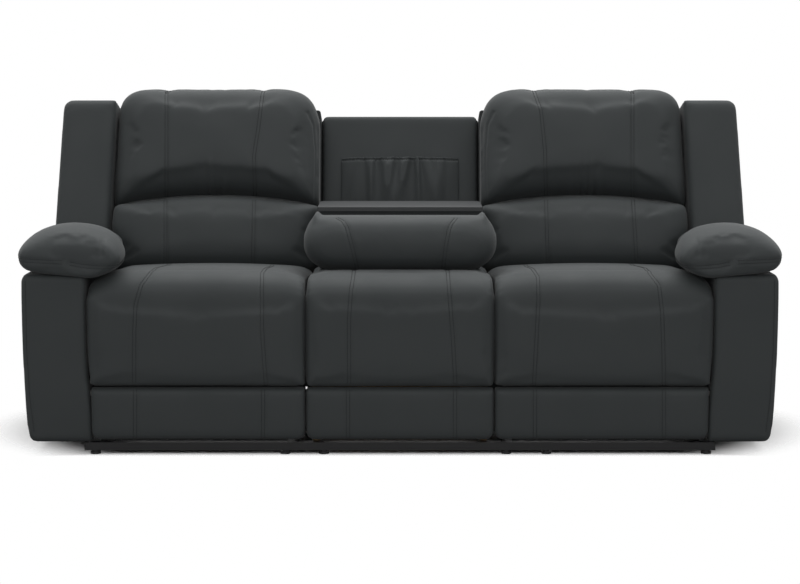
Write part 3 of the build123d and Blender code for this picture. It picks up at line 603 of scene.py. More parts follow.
def line_on(cloth, guide):
    """Points and normals where a run of rays meets the cloth, evenly spaced."""
    raw = []
    for first, last in zip(guide, guide[1:]):
        if (first[0] - last[0]).length > NEW_RUN:
            continue
        for origin, direction in rays_between(first, last, RAYS_IN_A_RUN):
            point, normal, _, _ = cloth.ray_cast(origin, direction)
            if point is not None:
                raw.append((point, normal))
    line, carried = [], 0.0
    for (a, normal_a), (b, _) in zip(raw, raw[1:]):
        gap = (b - a).length
        if gap < 1e-6 or gap > LONGEST_STEP:
            continue
        while carried <= gap:
            line.append((a.lerp(b, carried / gap), normal_a))
            carried += STITCH_PITCH / 2
        carried -= gap
    return line


def row_beside(cloth, line, gap):
    """The same line moved sideways over the cloth."""
    moved = []
    for (here, normal), (there, _) in zip(line, line[1:]):
        aside = (there - here).cross(normal).normalized() * gap
        point, facing, _, _ = cloth.find_nearest(here + aside)
        moved.append((point, facing))
    return moved


print("stitches per metre:", round(1 / STITCH_PITCH))

# %% [markdown]
# The groove is pressed by moving each point near the line inwards, deepest on the line itself
# and fading within a few millimetres.

# %% Press a line
def press_line(obj, line, depth=0.0022, width=0.0042):
    """Pulls the surface in along a seam."""
    near = KDTree(len(line))
    for i, (point, _) in enumerate(line):
        near.insert(point, i)
    near.balance()
    points, normals = points_of(obj), normals_of(obj)
    for i, point in enumerate(points):
        _, _, distance = near.find(point)
        if distance < 3 * width:
            points[i] -= normals[i] * depth * math.exp(-(distance / width) ** 2)
    set_points(obj, points)


print("twin rows lie", ROWS, "m beside their seam")

# %% [markdown]
# A stitch is a bar with a bevelled top, half sunk into the cloth. All stitches of a pad are one
# mesh, which moves as the pad moves.

# %% Threads
def bar(points, faces, start, end, normal, radius):
    """Adds one stitch: six-sided, pointed at both ends."""
    along = (end - start).normalized()
    aside = along.cross(normal).normalized()
    first = len(points)
    points.append(start - normal * radius * 0.6)
    for middle in (start.lerp(end, 0.2), start.lerp(end, 0.8)):
        for k in range(6):
            turn = math.pi / 3 * k
            points.append(middle + aside * math.cos(turn) * radius
                          + normal * math.sin(turn) * radius)
    points.append(end - normal * radius * 0.6)
    for k in range(6):
        n = (k + 1) % 6
        faces.append((first, first + 1 + n, first + 1 + k))
        faces.append((first + 1 + k, first + 1 + n, first + 7 + n, first + 7 + k))
        faces.append((first + 7 + k, first + 7 + n, first + 13))


def threads(name, lines):
    points, faces = [], []
    for line in lines:
        for (here, normal), (there, _) in zip(line[::2], line[2::2]):
            gap = (there - here).length
            if gap < 1e-5 or gap > 3 * STITCH_PITCH:
                continue
            along = (there - here) / gap
            start = here + normal * 0.0002
            bar(points, faces, start, start + along * STITCH_LENGTH, normal, THREAD_RADIUS)
    sewn = piece_from(name, points, faces)
    sewn.data.materials.clear()
    sewn.data.materials.append(THREAD)
    return sewn


def sew(obj, guides, depth=0.0020, rows=ROWS):
    """Presses seams into a pad and returns the mesh of their threads."""
    for guide in guides:
        line = line_on(tree_of(obj), guide)
        for row in rows:
            press_line(obj, row_beside(tree_of(obj), line, row), depth)
    cloth = tree_of(obj)
    lines = [line_on(cloth, guide) for guide in guides]
    sewn = [row_beside(cloth, line, row) for line in lines for row in rows]
    return threads(obj.name + "_threads", sewn)


def through(*pixels):
    return [sight(*pixel) for pixel in pixels]


print("a stitch is", STITCH_LENGTH, "m long")

# %% [markdown]
# ## Back pillows
# Each recliner's back has two pads. The head pillow is a big soft block whose lower edge is an
# arch. It overhangs the lumbar cushion, so it bulges forward and then turns under to the seam,
# where the cloth is gathered in the middle. Both are stacks of rings: the outline of the pad, a
# little smaller and further forward each time, like the layers of an onion.

# %% Pad on the leaning back
def leaning_pad(name, outline, layers, hub):
    """Stack of scaled outlines; layers are (scale, depth behind the face)."""
    rings = []
    for scale, deep in layers:
        rings.append([on_back(hub[0] + (p.x - hub[0]) * scale, hub[1] + (p.y - hub[1]) * scale,
                              deep) for p in outline])
    return stack(name, rings)


BACK_INNER, BACK_OUTER_LOW, BACK_OUTER_TOP = 0.2465, 0.873, 0.859
SEAM_ENDS, SEAM_ARCH, PILLOW_TOP = 0.205, 0.238, 0.568
PILLOW_ROUNDS = 16  # rounds of smoothing: a head pillow has no hard edge


def side_edge(up):
    """Outer edge of a back pad, which leans in towards the top."""
    return BACK_OUTER_LOW + (BACK_OUTER_TOP - BACK_OUTER_LOW) * up / PILLOW_TOP


def arch(across):
    """Height of the arched seam above a place across the pad."""
    middle = (BACK_INNER + BACK_OUTER_LOW) / 2
    half = (BACK_OUTER_LOW - BACK_INNER) / 2
    return SEAM_ARCH - (SEAM_ARCH - SEAM_ENDS) * ((across - middle) / half) ** 2


def arch_points(side, lift, count=24):
    low, high = BACK_INNER, side_edge(SEAM_ENDS)
    return [Vector((side * (low + (high - low) * k / count),
                    arch(low + (high - low) * k / count) + lift)) for k in range(count + 1)]


def head_pillow(side, name):
    top_corners = rounded_loop(
        [(side * (side_edge(SEAM_ENDS) + 0.003), SEAM_ENDS - 0.003),
         (side * BACK_OUTER_TOP, PILLOW_TOP), (side * (BACK_INNER + 0.006), PILLOW_TOP),
         (side * (BACK_INNER - 0.002), SEAM_ENDS - 0.003)],
        [0, 0.082, 0.098, 0])
    outline = spread(arch_points(side, 0.002)[1:-1] + top_corners, 0.03)
    layers = ((0.80, 0.163), (0.985, 0.163), (1.0, 0.150), (1.004, 0.12), (1.006, 0.075),
              (1.002, 0.048), (0.985, 0.027), (0.955, 0.011), (0.90, -0.001), (0.78, -0.011),
              (0.55, -0.018), (0.2, -0.021))
    middle = side * (BACK_INNER + BACK_OUTER_TOP) / 2
    pillow = leaning_pad(name, outline, layers, (middle, 0.40))
    return even_cover(pillow, rounds=PILLOW_ROUNDS)


print("arched seam at the middle", round(arch(0.556), 3))

# %% [markdown]
# Gathers are short folds that start at the seam and fade out upwards. Each one is a narrow
# ridge with its own place, width, height and length. The two pillows were gathered by hand, so
# they differ.

# %% Turn under and gather
GATHERS = {
    "left": ((-0.030, 0.010, 0.0035, 0.075), (-0.006, 0.008, 0.0065, 0.125),
             (0.010, 0.007, 0.0045, 0.10), (0.032, 0.011, 0.0035, 0.07)),
    "right": ((-0.045, 0.012, 0.0035, 0.08), (-0.022, 0.008, 0.0055, 0.115),
              (-0.002, 0.007, 0.0065, 0.13), (0.016, 0.008, 0.0060, 0.12),
              (0.040, 0.012, 0.0040, 0.085)),
}
GATHER_MIDDLE = {"left": -0.5645, "right": 0.5600}


def turn_under(pillow):
    points = points_of(pillow)
    up, deep = back_coordinates(points)
    above = up - arch(np.abs(points[:, 0]))
    tuck = np.clip(1 - above / 0.080, 0, 1) ** 2 * 0.024 * (1 - rise(deep, 0.03, 0.09))
    points += tuck[:, None] * np.array((0, math.cos(RAKE), -math.sin(RAKE)))
    set_points(pillow, points)


def gather(pillow, name):
    points, normals = points_of(pillow), normals_of(pillow)
    up, deep = back_coordinates(points)
    above = up - arch(np.abs(points[:, 0]))
    front = 1 - rise(deep, 0.05, 0.10)
    for offset, width, height, length in GATHERS[name]:
        across = points[:, 0] - GATHER_MIDDLE[name] - offset * (1 + above * 1.5)
        ridge = np.exp(-(across / width) ** 2)
        ridge -= 0.6 * np.exp(-((across - 1.6 * width) / width) ** 2)
        fade = np.clip(1 - above / length, 0, 1) ** 1.3 * front * (above > -0.01)
        points += (normals * (ridge * fade * height)[:, None])
    set_points(pillow, points)


print("gathers:", {name: len(folds) for name, folds in GATHERS.items()})

# %% [markdown]
# The seam lines of the pillows run over the top edge, so their rays first look through the
# picture and then straight down on the top. The stitching pulls the top edge down a little
# where it crosses it.

# %% Make the head pillows
HEAD_SEAMS = {
    "left": (((166.5, 197), (166.5, 92)), ((255, 197), (254, 155), (258, 130), (262.5, 94))),
    "right": (((546, 195), (545, 150), (541, 110), (535, 94)), ((632.5, 197), (632.5, 92))),
}
BOXING_SEAM = {"left": ((308, 113), (313.5, 125), (315.5, 150), (315, 203)),
               "right": ((493, 113), (487.5, 125), (485.5, 150), (486, 203))}
PINNED_DEEP = 0.15  # the pads of a back are fixed to its frame behind this depth
TOP_DEPTH = 0.69  # depth of the pillows' top edge behind the seat fronts
PILLOW_OUTER = 0.876


def dip_top(pillow, across):
    points = points_of(pillow)
    up, _ = back_coordinates(points)
    pull = 0.004 * np.exp(-((points[:, 0] - across) / 0.022) ** 2) * rise(up, 0.50, 0.56)
    points[:, 2] -= pull
    set_points(pillow, points)


for name, side in SIDES:
    pillow = head_pillow(side, f"{name}_head_pillow_cover")
    _, deep = back_coordinates(points_of(pillow))
    stuff(pillow, deep > PINNED_DEEP, cap=0.006)
    turn_under(pillow)
    guides = []
    for seam in HEAD_SEAMS[name]:
        guide = through(*seam)
        start, direction = guide[-1]
        reach = (SEAT_FRONT_Y + TOP_DEPTH - start.y) / direction.y
        across = (start + direction * reach).x
        dip_top(pillow, across)
        guides.append(guide + [down(across, TOP_DEPTH + 0.01), down(across, TOP_DEPTH + 0.13)])
    keep_between(pillow, BACK_INNER, PILLOW_OUTER)
    refine(pillow)
    gather(pillow, name)
    sewn = sew(pillow, guides)
    press_line(pillow, line_on(tree_of(pillow), through(*BOXING_SEAM[name])), 0.0028, 0.006)
    deliver(pillow, f"{name}_back", f"{name}_head_pillow", fill=0.85)
    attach(sewn, f"{name}_back")

# %% [markdown]
# The lumbar cushion under it has the same arch as its upper edge. It swells forward in the
# middle of its height, and its foot goes down behind the seat. Low down and far back its outer
# side is cut away, because that corner swings down beside the arm when the back reclines.

# %% Lumbar cushions
LUMBAR_OUTER, ARM_CLEAR = 0.878, 0.8600  # outer side beside the wing, and low down beside the arm
LUMBAR_SEAMS = {
    "left": (((165.5, 200), (165.5, 266)), ((254, 200), (253, 266))),
    "right": (((546, 200), (548, 266)), ((633, 200), (637, 266))),
}
LUMBAR_LAYERS = (  # scale, depth behind the face of the back
    (0.8, 0.163), (0.99, 0.163), (1.004, 0.14), (1.004, 0.05), (1.0, 0.026), (0.98, 0.008),
    (0.95, -0.004), (0.88, -0.014), (0.72, -0.022), (0.45, -0.028), (0.2, -0.030))


def lumbar_cushion(side, name):
    foot = 0.0
    outline = [Vector(p) for p in arch_points(side, -0.001)]
    outline[0] += Vector((-side * 0.003, 0.003))
    outline[-1] += Vector((side * 0.003, 0.003))
    outline += [Vector((side * 0.874, 0.14)), Vector((side * 0.866, 0.09)),
                Vector((side * 0.857, 0.07)), Vector((side * 0.857, foot)),
                Vector((side * BACK_INNER, foot))]
    hub = (side * (BACK_INNER + BACK_OUTER_LOW) / 2, 0.125)
    return even_cover(leaning_pad(name, spread(outline, 0.03), LUMBAR_LAYERS, hub), rounds=12)


def tuck_in(cushion):
    """Draws the front back under the arched seam and down at the foot, and clears the arm."""
    points = points_of(cushion)
    up, deep = back_coordinates(points)
    below = arch(np.abs(points[:, 0])) - up
    tuck = np.clip(1 - below / 0.04, 0, 1) ** 2 * 0.010
    tuck += np.clip(1 - up / 0.09, 0, 1) ** 2 * 0.014
    tuck *= 1 - rise(deep, 0.03, 0.09)
    points += tuck[:, None] * np.array((0, math.cos(RAKE), -math.sin(RAKE)))
    set_points(cushion, points)
    swings_low = 1 - rise(up - 0.966 * np.maximum(deep, 0), 0.062, 0.085)
    keep_between(cushion, BACK_INNER, LUMBAR_OUTER - (LUMBAR_OUTER - ARM_CLEAR) * swings_low)


for name, side in SIDES:
    cushion = lumbar_cushion(side, f"{name}_lumbar_cushion_cover")
    up, deep = back_coordinates(points_of(cushion))
    stuff(cushion, (deep > PINNED_DEEP) | (up < 0.02), cap=0.005)
    tuck_in(cushion)
    refine(cushion)
    sewn = sew(cushion, [through(*seam) for seam in LUMBAR_SEAMS[name]])
    deliver(cushion, f"{name}_back", f"{name}_lumbar_cushion", fill=0.85)
    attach(sewn, f"{name}_back")

# %% [markdown]
# ## Seats
# A recliner's seat cover is one sheet. It comes from under the back, over the crest, round the
# rolled front edge and down the front as the upper face of the footrest. When the footrest
# swings up, the sheet bends round its hinge; here the piece stays where it is built.
# Its side view is one closed line, pushed out across the seat and rounded at both ends.

# %% Side view of a seat
ROLL = (0.070, 0.428, 0.070)  # depth, height and radius of the rolled front edge
INNER_RADIUS = 0.025  # of the hollow side of the roll
PANEL_FOOT = 0.190
SEAT_REAR = 0.552


def round_roll(radius, degrees):
    turns = [math.radians(a) for a in degrees]
    return [(ROLL[0] - radius * math.cos(turn), ROLL[1] + radius * math.sin(turn))
            for turn in turns]


def seat_side(crest, crest_at, level, level_at, rear=SEAT_REAR):
    """Closed side view: (depth, height) points from the rear underside, round the front."""
    top = [(rear, 0.404), (rear, level - 0.022), (rear - 0.012, level - 0.004),
           (rear - 0.03, level), (level_at, level + 0.002), ((level_at + crest_at) / 2,
           (level + crest) / 2 + 0.003), (crest_at + 0.05, crest - 0.001), (crest_at, crest),
           (crest_at - 0.03, crest - 0.0015)]
    face = [(0.0, 0.36), (0.0, 0.28), (0.0, PANEL_FOOT + 0.014), (0.004, PANEL_FOOT + 0.004),
            (0.014, PANEL_FOOT), (0.045, PANEL_FOOT), (0.045, 0.30), (0.045, ROLL[1])]
    return (top + round_roll(ROLL[2], range(96, -1, -8)) + face
            + round_roll(INNER_RADIUS, (30, 60, 90)) + [(0.105, 0.448), (0.150, 0.404)])


def set_in(loop, amount):
    """The same closed line, moved inwards by an even amount."""
    count = len(loop)
    area = sum(loop[i][0] * loop[(i + 1) % count][1] - loop[(i + 1) % count][0] * loop[i][1]
               for i in range(count))
    turn = 1 if area > 0 else -1
    moved = []
    for i in range(count):
        before, here, after = (Vector(loop[i - 1]), Vector(loop[i]), Vector(loop[(i + 1) % count]))
        one, two = (here - before).normalized(), (after - here).normalized()
        inward = Vector((-(one.y + two.y), one.x + two.x)).normalized() * turn
        moved.append(here + inward * amount)
    return moved


def seat_piece(name, x0, x1, loop, edge=0.010):
    """Pushes a side view across the seat, with rounded ends."""
    rings = [(x0 + edge * (1 - math.cos(math.pi / 2 * k / 5)),
              edge * (1 - math.sin(math.pi / 2 * k / 5))) for k in range(6)]
    spacing = (x1 - x0 - 2 * edge) / 8
    rings += [(x0 + edge + spacing * k, 0.0) for k in range(1, 8)]
    rings += [(x0 + x1 - across, amount) for across, amount in reversed(rings[:6])]
    built = []
    for across, amount in rings:
        ring = []
        for p, planned in zip(set_in(loop, amount), loop):
            p = p.lerp(Vector(planned), 0.75 * (1 - float(rise(planned[1], 0.20, 0.27))))
            ring.append(place(across, p.x, p.y))
        built.append(ring)
    return stack(name, built)


print("side view points", len(seat_side(0.506, 0.135, 0.472, 0.47)))

# %% [markdown]
# The seat is fuller in the middle than at its sides, so after covering it, the top is raised by
# a smooth crown across the seat, and the front face gets a slighter one. The underside stays
# where the frame carries it.

# %% Crown
SEAT_SEAMS = {
    "left": (((151, 272), (141, 285), (135.5, 305), (134.3, 330), (134, 385.5)),
             ((262, 275), (262, 330), (264, 360), (266, 385.5))),
    "centre": (((353.5, 275), (351, 290), (349, 320), (349, 385.5)),
               ((448, 275), (450, 300), (453, 340), (455.5, 385.5))),
    "right": (((534, 271), (538, 277), (538.5, 300), (536.5, 340), (534, 385.5)),
              ((650, 274), (659, 285), (662, 310), (663.5, 350), (664, 385.5))),
}


def crown(obj, x0, x1, top, face, edge_drop):
    points = points_of(obj)
    middle, half = (x0 + x1) / 2, (x1 - x0) / 2
    across = np.abs(points[:, 0] - middle) / half
    swell = 1 - across ** 2
    depth = depth_of(points)
    upper = rise(points[:, 2], 0.42, 0.48)
    by_arm = np.abs(points[:, 0]) > 0.56
    drop = np.where(by_arm, 3.0, 1.0) * edge_drop
    points[:, 2] += upper * (top * swell - drop * np.clip(across - 0.75, 0, 1) ** 2 * 16)
    narrow = 0.006 * (1 - rise(points[:, 2], PANEL_FOOT, 0.30)) * (depth < 0.06) * by_arm
    points[:, 0] -= np.sign(points[:, 0]) * narrow * np.clip(across - 0.75, 0, 1) * 4
    facing = (1 - rise(depth, 0.0, 0.04)) * rise(points[:, 2], PANEL_FOOT, PANEL_FOOT + 0.08)
    points[:, 1] -= face * swell * facing
    set_points(obj, points)


def hidden_run(obj, guide, rear):
    """The seam's way from its highest picture point to the rear of the seat."""
    point, _, _, _ = tree_of(obj).ray_cast(*guide[0])
    if point is None:
        return []
    return [down(point.x, rear), down(point.x, point.y - SEAT_FRONT_Y + 0.02)]


print("seams on the seats:", {name: len(seams) for name, seams in SEAT_SEAMS.items()})

# %% [markdown]
# The three seats differ in their side view only: the middle one is lower and flatter, because
# the folded console lies on it. The middle seat is fixed. The cover of an outer seat is baked
# where it is built and hung on no body.

# %% Make the seats
SEATS = {"left": (-0.8605, -0.2608), "centre": (-0.2592, 0.2592), "right": (0.2608, 0.8605)}
SEAT_SHAPES = {  # side view, then the crown of the top and how far its sides drop
    "centre": (seat_side(0.497, 0.105, 0.472, 0.22), 0.002, 0.004),
    "outer": (seat_side(0.492, 0.125, 0.468, 0.44), 0.012, 0.008),
}
FACE_CROWN = 0.004


def on_frame(points):
    """The seat's points that rest on its boards and stay where they are."""
    depth, height = depth_of(points), points[:, 2]
    return (height < 0.41) & (depth > 0.1) | (depth > 0.52) | (depth > 0.035) & (height < 0.44)


for name, (x0, x1) in SEATS.items():
    outer_seat = name != "centre"
    loop, top, edge_drop = SEAT_SHAPES["outer" if outer_seat else "centre"]
    seat = even_cover(seat_piece(f"{name}_seat_cover", x0, x1, loop), CLOTH_CELL * 1.1, 2)
    fit_across(seat, x0, x1)
    stuff(seat, on_frame(points_of(seat)), cap=0.004)
    crown(seat, x0, x1, top, FACE_CROWN, edge_drop)
    refine(seat)
    guides = [through(*seam) for seam in SEAT_SEAMS[name]]
    sewn = sew(seat, [hidden_run(seat, guide, 0.50) + guide for guide in guides])
    if outer_seat:
        deliver(seat, None, f"{name}_seat_cushion", f"{name}_footrest_pad", fill=0.9)
        for part in (seat, sewn):
            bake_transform(part)
    else:
        deliver(seat, "base", "centre_seat_cushion", "centre_front_pad", fill=0.9)
        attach(sewn, "base")

# %% [markdown]
# Below each seat hangs a second, lower panel: a padded board with rounded lower corners, in
# layers from the rear of the board to its crowned face. The outer panels end a little before
# the arms.

# %% Lower panels
LOWER_FOOT, LOWER_TOP, LOWER_OUTER = 0.043, 0.188, 0.8515
LOWER_CORNER = 0.024
LOWER_SEAMS = {"left": (135, 263), "centre": (348, 455), "right": (535, 664)}
LOWER_LAYERS = ((0.004, 0.045), (0.0, 0.040), (0.0, 0.022), (0.001, 0.010), (0.004, 0.003),
                (0.010, 0.0), (0.03, -0.002))
for name, (x0, x1) in SEATS.items():
    x0, x1 = max(x0, -LOWER_OUTER), min(x1, LOWER_OUTER)
    outline = rounded_loop([(x0, LOWER_TOP), (x1, LOWER_TOP), (x1, LOWER_FOOT), (x0, LOWER_FOOT)],
                           [0.0, 0.0, LOWER_CORNER, LOWER_CORNER])
    rough = layered(f"{name}_lower_panel_cover", spread(outline, 0.02),
                    ((x0 + x1) / 2, (LOWER_FOOT + LOWER_TOP) / 2),
                    ((x1 - x0) / 2, (LOWER_TOP - LOWER_FOOT) / 2), LOWER_LAYERS, upright)
    panel = refine(fit_across(even_cover(rough, rounds=1), x0, x1))
    sewn = sew(panel, [through((x, 389.5), (x, 439)) for x in LOWER_SEAMS[name]])
    body = "base" if name == "centre" else f"{name}_footrest"
    deliver(panel, body, f"{name}_lower_panel", fill=0.9)
    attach(sewn, body)

# %% [markdown]
# ## Arms
# The arm itself is a boxed panel whose outer side curves in towards the floor. Its front edge
# keeps a narrow lip beside the seat, its outer side has an opening for the cup of the release
# handle, and one seam runs down the front near the outer corner.

# %% Arm shape
ARM_INNER, ARM_OUTER, ARM_FOOT, ARM_TOP = 0.8635, 1.039, 0.0365, 0.502
ARM_HALF = (0.086, 0.229)
ARM_LAYERS = ((0.0095, 0.006), (0.004, 0.0085), (0.001, 0.013), (0.0, 0.019), (0.0, 0.03),
              (0.0, 0.30), (0.0, 0.60), (0.0, 0.845), (0.003, 0.856), (0.010, 0.860))
CUP_OPENING = ((1.004, 1.060), (0.2455, 0.3645), (0.3225, 0.3775))  # across, depth and height
ARM_SEAM = ((0.0, 0.485), (0.0, 0.30), (0.006, 0.16), (0.017, 0.058))  # inset and height


def arm_section(side):
    outer = [(ARM_OUTER - 0.001, ARM_TOP - 0.012), (ARM_OUTER, 0.44), (ARM_OUTER, 0.36),
             (ARM_OUTER - 0.001, 0.28), (ARM_OUTER - 0.003, 0.20), (ARM_OUTER - 0.006, 0.13),
             (ARM_OUTER - 0.010, 0.08)]
    loop = [(ARM_INNER, ARM_TOP), (ARM_OUTER - 0.008, ARM_TOP), *outer,
            (ARM_OUTER - 0.015, ARM_FOOT + 0.012), (ARM_OUTER - 0.025, ARM_FOOT),
            (ARM_INNER, ARM_FOOT)]
    return spread([Vector((side * p[0], p[1])) for p in loop], 0.03)


def add_lip(arm, side):
    points = points_of(arm)
    lip = 1 - rise(depth_of(points), 0.03, 0.06)
    lip *= 1 - rise(points[:, 2], 0.08, 0.30)
    lip *= 1 - rise(np.abs(points[:, 0]), ARM_INNER, ARM_INNER + 0.05)
    points[:, 0] -= side * 0.0125 * lip
    set_points(arm, points)


print("arm", round(ARM_OUTER - ARM_INNER, 4), "m wide")

# %% [markdown]
# The opening for the cup is cut with a box. A cut needs both meshes closed and facing outwards,
# so the box on the left arm is turned inside out first.

# %% Arm covers
def cut_cup_opening(arm, side):
    corners = [place(side * x, depth, height) for x in CUP_OPENING[0] for depth in CUP_OPENING[1]
               for height in CUP_OPENING[2]]
    cutter = piece_from("cutter", corners, [(0, 1, 3, 2), (4, 6, 7, 5), (0, 4, 5, 1), (2, 3, 7, 6),
                                            (0, 2, 6, 4), (1, 5, 7, 3)])
    if side < 0:
        cutter.data.flip_normals()
    hole = arm.modifiers.new("cup opening", "BOOLEAN")
    hole.operation, hole.object, hole.solver = "DIFFERENCE", cutter, "EXACT"
    apply_modifiers(arm)
    bpy.data.objects.remove(cutter)
    return shade_smooth(arm)


for name, side in SIDES:
    hub = (side * (ARM_INNER + ARM_OUTER) / 2, (ARM_FOOT + ARM_TOP) / 2)
    rough = layered(f"{name}_arm_panel", arm_section(side), hub, ARM_HALF, ARM_LAYERS, upright)
    arm = fit_across(even_cover(rough, rounds=2), *sorted((side * ARM_INNER, side * ARM_OUTER)))
    add_lip(arm, side)
    refine(arm)
    cut_cup_opening(arm, side)
    guide = [(place(side * (ARM_OUTER - 0.014 - inset), -1.0, height), Vector((0, 1, 0)))
             for inset, height in ARM_SEAM]
    sewn = sew(arm, [guide], depth=0.0016, rows=(0.0,))
    deliver(arm, "base", f"{name}_arm_cover", fill=0.95)
    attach(sewn, "base")

# %% [markdown]
# On each arm lies a fat pillow that overhangs both sides and the front. Its cross section is a
# low dome on a narrower foot, widest at the seam. The section is drawn once and mirrored for
# the other arm. The nose closes like the end of a loaf: each ring is a smaller copy of the
# section.

# %% Arm pad shape
PAD_FRONT = (  # across and up, from the inner seam over the top to the outer seam and back below
    (0.757, 0.545), (0.764, 0.568), (0.775, 0.589), (0.792, 0.607), (0.815, 0.619), (0.845, 0.628),
    (0.875, 0.6325), (0.903, 0.634), (0.930, 0.6325), (0.960, 0.627), (0.990, 0.617),
    (1.014, 0.604), (1.034, 0.588), (1.047, 0.570), (1.053, 0.549), (1.050, 0.533), (1.041, 0.519),
    (1.027, 0.508),
    (0.971, 0.502), (0.930, 0.499), (0.889, 0.495), (0.848, 0.490), (0.815, 0.497), (0.785, 0.511),
    (0.765, 0.525))
PAD_REAR = (
    (0.827, 0.540), (0.833, 0.552), (0.842, 0.562), (0.855, 0.571), (0.872, 0.579), (0.892, 0.586),
    (0.914, 0.591), (0.936, 0.594), (0.958, 0.595), (0.980, 0.594), (1.002, 0.590), (1.022, 0.583),
    (1.037, 0.573), (1.047, 0.560), (1.050, 0.545), (1.048, 0.531), (1.040, 0.518), (1.026, 0.508),
    (0.971, 0.502), (0.930, 0.502), (0.895, 0.503), (0.872, 0.504), (0.853, 0.512), (0.838, 0.521),
    (0.829, 0.530))
PAD_NOSE = (  # depth, then the share of the section across, above the seam and below it
    (-0.018, 0.38, 0.16, 0.42), (-0.0165, 0.66, 0.33, 0.68), (-0.012, 0.82, 0.47, 0.84),
    (-0.003, 0.92, 0.60, 0.93), (0.012, 0.965, 0.72, 0.97), (0.032, 0.99, 0.83, 0.99),
    (0.060, 1.0, 0.93, 1.0), (0.095, 1.0, 0.98, 1.0), (0.125, 1.0, 1.0, 1.0),
    (0.18, 1.0, 1.0, 1.0), (0.25, 1.0, 1.0, 1.0), (0.32, 1.0, 1.0, 1.0), (0.39, 1.0, 1.0, 1.0),
    (0.46, 1.0, 1.0, 1.0))
SEAM_LEVEL = 0.547
WING_FROM, BEFORE_WING, BEFORE_CUSHION = 0.871, 0.0035, -0.0265  # where the rear of the pad ends


def pad_section(side, depth):
    """The pad gets lower and narrower on its inner side towards the rear, and its nose droops."""
    t = min(1.0, max(0.0, (depth - 0.10) / 0.42))
    loop = [Vector((side * p[0], p[1])).lerp(Vector((side * q[0], q[1])), t)
            for p, q in zip(PAD_FRONT, PAD_REAR)]
    deep = float(rise(depth, 0.03, 0.10))
    for p in loop:  # only the nose hangs over the arm panel, the rest lies on it
        if p.y < 0.54 and abs(p.x) < 0.95:
            p.y += (max(p.y, 0.503) - p.y) * deep
    return spread_even(loop, 84)


print("pad over all:", PAD_FRONT[0][0], "to", max(p[0] for p in PAD_FRONT))

# %% [markdown]
# The rear of the pad stops against the lumbar cushion on its inner side and against the wing on
# its outer side, so its last ring lies on the leaning back.

# %% Build an arm pad
def arm_pad(side, name):
    hub = Vector((side * 0.905, SEAM_LEVEL))
    rings = []
    for depth, wide, above, below in PAD_NOSE:
        ring = []
        for p in pad_section(side, depth):
            tall = above if p.y > SEAM_LEVEL else below
            ring.append(place(hub.x + (p.x - hub.x) * wide, depth, hub.y + (p.y - hub.y) * tall))
        rings.append(ring)
    rear = []
    for p in pad_section(side, 0.58):
        deep = BEFORE_WING if abs(p.x) > WING_FROM else BEFORE_CUSHION
        up = (p.y - BACK_FOOT[1] + deep * math.sin(RAKE)) / math.cos(RAKE)
        point = on_back(p.x, up, deep)
        rear.append(Vector((p.x, point.y, p.y)))
    rings.append(rear)
    return even_cover(stack(name, rings), rounds=3)


print("rings of a pad:", len(PAD_NOSE) + 1)

# %% [markdown]
# A seam runs round the pad at its widest place. Its rays come from the side, and then from
# points on a circle round the nose, where the seam sags a little. Two shallow folds are pinched
# into the inner cheek of the nose, as the real cloth shows.

# %% Arm pads
NOSE_FOLDS = ((0.812, 0.006, 0.004), (0.832, 0.010, 0.003))  # across, width and depth


def pinch_nose(pad):
    points, normals = points_of(pad), normals_of(pad)
    for across, width, height in NOSE_FOLDS:
        fold = np.exp(-((np.abs(points[:, 0]) - across) / width) ** 2)
        fold *= 1 - rise(depth_of(points), 0.02, 0.06)
        fold *= rise(points[:, 2], 0.545, 0.56) * (1 - rise(points[:, 2], 0.585, 0.61))
        points -= normals * (fold * height)[:, None]
    set_points(pad, points)


def pad_seam(side, sign):
    """Rays round the pad at the seam's height: along the side, then round the nose."""
    inward = Vector((-sign * side, 0, 0))
    middle, height = 0.908, SEAM_LEVEL + 0.001
    out = side * (middle + sign * 0.5)
    runs = [(place(out, depth, height), inward) for depth in (0.50, 0.30, 0.12)]
    hub = place(side * middle, 0.10, height)
    for degrees, inner_drop in ((10, 0.012), (30, 0.022), (50, 0.024), (70, 0.019), (89, 0.011)):
        turn = math.radians(degrees)
        direction = Vector((sign * side * math.cos(turn), -math.sin(turn), 0))
        drop = -inner_drop if sign < 0 else -0.010 * degrees / 90
        runs.append((hub + direction * 0.5 + Vector((0, 0, drop)), -direction))
    return runs


for name, side in SIDES:
    pad = arm_pad(side, f"{name}_arm_pad_cover")
    points = points_of(pad)
    stuff(pad, (points[:, 2] < ARM_TOP + 0.004) | (depth_of(points) > 0.54), cap=0.005)
    refine(pad)
    pinch_nose(pad)
    sewn = sew(pad, [pad_seam(side, 1), pad_seam(side, -1)])
    deliver(pad, "base", f"{name}_arm_pad", fill=0.9)
    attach(sewn, "base")

# %% [markdown]
# ## Wings
# A wing is a firm padded panel that stands on the rear of each arm, leans with the back and
# tapers towards its top. It barely bulges, so three or four layers make its front, and only its
# edges are soft.

